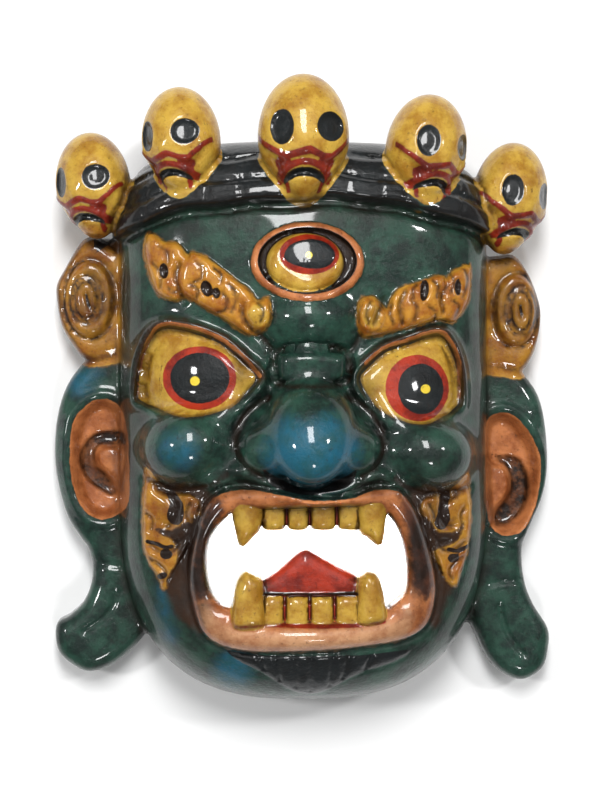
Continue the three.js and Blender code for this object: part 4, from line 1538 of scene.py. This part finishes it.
def paint_group() -> bpy.types.NodeTree:
    """Build the group that paints one colour over another with a brushed edge."""
    group = new_group("brushed_edge", {
        "Below": None, "Thick": None, "Thin": None, "DirtAndShade": None, "Edge": 0.0, "Wobble": 0.8,
        "Soft": 0.22,
        "Cavity": 0.0, "Hollow": 0.0}, {"Colour": "Color", "Mask": "Float"})
    s = Sockets(group)
    given = s.node("NodeGroupInput")
    out = s.node("NodeGroupOutput")
    where = s.node("ShaderNodeTexCoord").outputs["Object"]
    waver = s.math("SUBTRACT", s.noise(where, 260.0, 3.0, 0.6), 0.5)
    edge = s.math("MULTIPLY_ADD", waver, s.math("MULTIPLY", given.outputs["Wobble"], 2.0),
                  given.outputs["Edge"])
    mask = s.span(s.math("DIVIDE", edge, given.outputs["Soft"]), -1.0, 1.0)
    coat = s.span(s.noise(where, 90.0, 4.0, 0.65), 0.35, 0.68)
    colour = s.mix(coat, given.outputs["Thick"], given.outputs["Thin"])
    # darker in recesses and hollows, toward the paint's dark colour: brown wash and painted shade
    recess_wash_and_shade = s.math("ADD", s.span(given.outputs["Cavity"], 0.22, 0.75),
                   s.span(given.outputs["Hollow"], 0.30, 0.95))
    recess_wash_and_shade = s.math("MULTIPLY", recess_wash_and_shade, s.span(s.noise(where, 320.0, 3.0, 0.6), 0.2, 0.7, 0.45, 1.0),
                   clamp=True)
    colour = s.mix(s.math("MULTIPLY", recess_wash_and_shade, 0.85), colour, given.outputs["DirtAndShade"])
    s.feed(out.inputs["Colour"], s.mix(mask, given.outputs["Below"], colour))
    s.feed(out.inputs["Mask"], mask)
    return group


def varnish_group() -> bpy.types.NodeTree:
    """Build the group that gives the lumps and brush marks of thick varnish."""
    group = new_group("lumpy_varnish", {"Lumps": 1.0, "Brush": 1.0, "Cavity": 0.0},
                      {"Height": "Float", "Dust": "Float"})
    s = Sockets(group)
    given = s.node("NodeGroupInput")
    out = s.node("NodeGroupOutput")
    where = s.node("ShaderNodeTexCoord").outputs["Object"]
    turned = s.node("ShaderNodeMapping")
    turned.inputs["Scale"].default_value = (1.0, 0.28, 1.0)
    turned.inputs["Rotation"].default_value = (0.0, 0.0, 0.5)
    s.feed(turned.inputs["Vector"], where)
    broad = s.noise(where, 120.0, 2.0, 0.5)
    fine = s.noise(where, 760.0, 5.0, 0.66)
    brush = s.noise(turned.outputs[0], 700.0, 2.0, 0.6)
    height = s.math("ADD", s.math("MULTIPLY", broad, 1.3), s.math("MULTIPLY", fine, 0.6))
    height = s.math("MULTIPLY", height, given.outputs["Lumps"])
    height = s.math("ADD", height,
                    s.math("MULTIPLY", s.math("MULTIPLY", brush, 0.22), given.outputs["Brush"]))
    s.feed(out.inputs["Height"], height)
    dust = s.span(s.noise(where, 210.0, 5.0, 0.7), 0.50, 0.72)
    s.feed(out.inputs["Dust"],
           s.math("MULTIPLY", dust, s.span(given.outputs["Cavity"], 0.1, 0.6), clamp=True))
    return group


@dataclass
class PaintedWood:
    """The mask's one finish: paints over carved wood, darkened with brown wash and painted shade, and
    thickly varnished.
    """

    ground: Paint = GROUND
    paints: tuple[Paint, ...] = PAINTS
    wood: str = "2a1d12"
    rubbed: str = "6a5a3c"
    wash_and_shade_colour: str = "1c0e06"
    stained: str = "1c1008"
    roughness: float = 0.34
    dusty: float = 0.25
    bump: float = 0.75
    bump_height: float = 0.0007
    coat: float = 0.55
    coat_roughness: float = 0.07
    gloss: float = 0.22

    def attribute(self, s: Sockets, layer: Layer) -> bpy.types.NodeSocket:
        """Read one of the piece's own maps."""
        return s.node("ShaderNodeAttribute", attribute_name=layer.value).outputs["Fac"]

    def build(self) -> bpy.types.Material:
        """Make the material."""
        material = bpy.data.materials.new("painted_wood")
        material.use_nodes = True
        s = Sockets(material.node_tree)
        shader = material.node_tree.nodes["Principled BSDF"]
        group, varnish = paint_group(), varnish_group()
        cavity, hollow = self.attribute(s, Layer.CAVITY), self.attribute(s, Layer.HOLLOW)
        below: object = rgb(self.wood)
        for paint in (self.ground, *self.paints):
            coat = s.node("ShaderNodeGroup", node_tree=group, label=paint.layer.value)
            edge = 6.0 if paint is self.ground else self.attribute(s, paint.layer)
            for name, value in (
                    ("Below", below), ("Thick", rgb(paint.thick)), ("Thin", rgb(paint.thin)),
                    ("DirtAndShade", rgb(paint.dirt_and_shade)), ("Edge", edge), ("Wobble", paint.wobble),
                    ("Soft", paint.soft),
                    ("Cavity", cavity), ("Hollow", hollow)):
                s.feed(coat.inputs[name], value)
            below = coat.outputs["Colour"]
        coat = s.node("ShaderNodeGroup", node_tree=varnish)
        s.feed(coat.inputs["Cavity"], cavity)
        where = s.node("ShaderNodeTexCoord").outputs["Object"]
        worn = s.span(self.attribute(s, Layer.WEAR), 0.5, 1.0)
        worn = s.math("MULTIPLY", worn, s.span(s.noise(where, 300.0, 4.0, 0.7), 0.45, 0.62, 0.0, 0.2),
                      clamp=True)
        colour = s.mix(worn, below, rgb(self.rubbed))
        # brown wash with painted shade, from the wash map, streaked by noise
        streak = s.span(s.noise(where, 130.0, 5.0, 0.7), 0.30, 0.62, 0.62, 1.05)
        wash = s.math("MULTIPLY", self.attribute(s, Layer.WASH), streak, clamp=True)
        colour = s.mix(wash, colour, rgb(self.wash_and_shade_colour))
        stain = s.span(s.noise(where, 420.0, 5.0, 0.75), 0.56, 0.72, 0.0, 0.62)
        colour = s.mix(stain, colour, rgb(self.stained))
        s.feed(shader.inputs["Base Color"], colour)
        rough = s.math("ADD", self.roughness, s.math("MULTIPLY", coat.outputs["Dust"], self.dusty))
        s.feed(shader.inputs["Roughness"], rough)
        bump = s.node("ShaderNodeBump")
        bump.inputs["Strength"].default_value = self.bump
        bump.inputs["Distance"].default_value = self.bump_height
        s.feed(bump.inputs["Height"], coat.outputs["Height"])
        s.feed(shader.inputs["Normal"], bump.outputs["Normal"])
        shader.inputs["Coat Weight"].default_value = self.coat
        shader.inputs["Coat Roughness"].default_value = self.coat_roughness
        shader.inputs["Specular IOR Level"].default_value = self.gloss
        return material


@dataclass
class Studio:
    """The pale floor, the lights and the camera."""

    sight: Sight = SIGHT
    lamps: tuple[tuple[str, tuple[float, float, float], float, float, float], ...] = (
        ("window", (-0.05, 0.62, 1.25), 0.30, 0.60, 15.5),
        ("left_key", (-0.95, 0.1, 1.0), 0.14, 0.14, 5.4),
        ("right_key", (0.9, 0.35, 1.1), 0.14, 0.14, 5.4),
        ("front_fill", (0.15, -1.0, 1.3), 0.20, 0.20, 5.0))
    world_light: float = 0.16
    white: tuple[float, float, float, float] = (1.0, 1.0, 1.0, 1.0)
    floor_half: float = 3.0  # metres
    paper: tuple[float, float, float, float] = (0.9, 0.9, 0.9, 1.0)
    paper_roughness: float = 0.9
    sensor: float = 36.0  # millimetres
    picture: float = 600.0  # pixels across

    def floor(self) -> None:
        """Lay a plain pale floor under the mask."""
        work = bmesh.new()
        bmesh.ops.create_grid(work, x_segments=1, y_segments=1, size=self.floor_half)
        floor = added("floor", mesh_from(work, "floor"))
        material = bpy.data.materials.new("floor_paper")
        material.use_nodes = True
        shader = material.node_tree.nodes["Principled BSDF"]
        shader.inputs["Base Color"].default_value = self.paper
        shader.inputs["Roughness"].default_value = self.paper_roughness
        floor.data.materials.append(material)

    def light(self, name: str, place: tuple[float, float, float], size: float, power: float,
              target: tuple[float, float, float] = (0.0, 0.0, 0.04),
              tall: float = 0.0) -> bpy.types.Object:
        """Hang a soft light that points at the mask, or at another target."""
        data = bpy.data.lights.new(name, "AREA")
        data.shape, data.size, data.size_y, data.energy = "RECTANGLE", size, tall or size, power
        lamp = added(name, data)
        lamp.location = place
        lamp.rotation_euler = (Vector(target) - Vector(place)).to_track_quat("-Z", "Y").to_euler()
        return lamp

    def camera(self, unit: float) -> None:
        """Set the camera where the photograph was taken from."""
        data = bpy.data.cameras.new("camera")
        data.sensor_fit, data.sensor_width = "HORIZONTAL", self.sensor
        data.lens = self.sight.focal() * self.sensor / self.picture
        data.clip_end = 20.0
        camera = added("camera", data)
        camera.location = (Vector(self.sight.eye) + Vector(LIFT)) * unit
        right, up, forward = self.sight.turned()
        camera.rotation_euler = Matrix((right, up, -forward)).transposed().to_euler()
        bpy.context.scene.camera = camera

    def build(self, unit: float) -> None:
        """Set up the floor, the lights and the camera."""
        self.floor()
        for name, place, size, tall, power in self.lamps:
            self.light(name, place, size, power, tall=tall)
        self.light("inside", (0.0, 0.006, 0.047), 0.095, 1.3, (0.0, 0.006, 0.0)).visible_camera = False
        world = bpy.data.worlds.new("studio")
        world.use_nodes = True
        sky = world.node_tree.nodes["Background"]
        sky.inputs["Color"].default_value = self.white
        sky.inputs["Strength"].default_value = self.world_light
        bpy.context.scene.world = world
        bpy.context.scene.view_settings.view_transform = "Standard"
        self.camera(unit)


def main() -> None:
    """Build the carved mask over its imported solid, and set it in the studio."""
    logging.basicConfig(level=logging.INFO, format="%(name)s: %(message)s")
    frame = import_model()
    low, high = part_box("mask")
    unit = (high[1] - low[1]) / CARVED_HEIGHT
    Studio().build(unit)
    carver = Carver(CarvedForm(), unit, low, high)
    piece = carver.carve(frame["nodes"]["mask"])
    Brushwork(carver.form).lay_on(piece, unit)
    piece.data.materials.clear()
    piece.data.materials.append(PaintedWood().build())
    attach(piece, "root")
    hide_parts("mask")
    LOG.info("carved_mask rides on root")


if __name__ == "__main__":
    main()
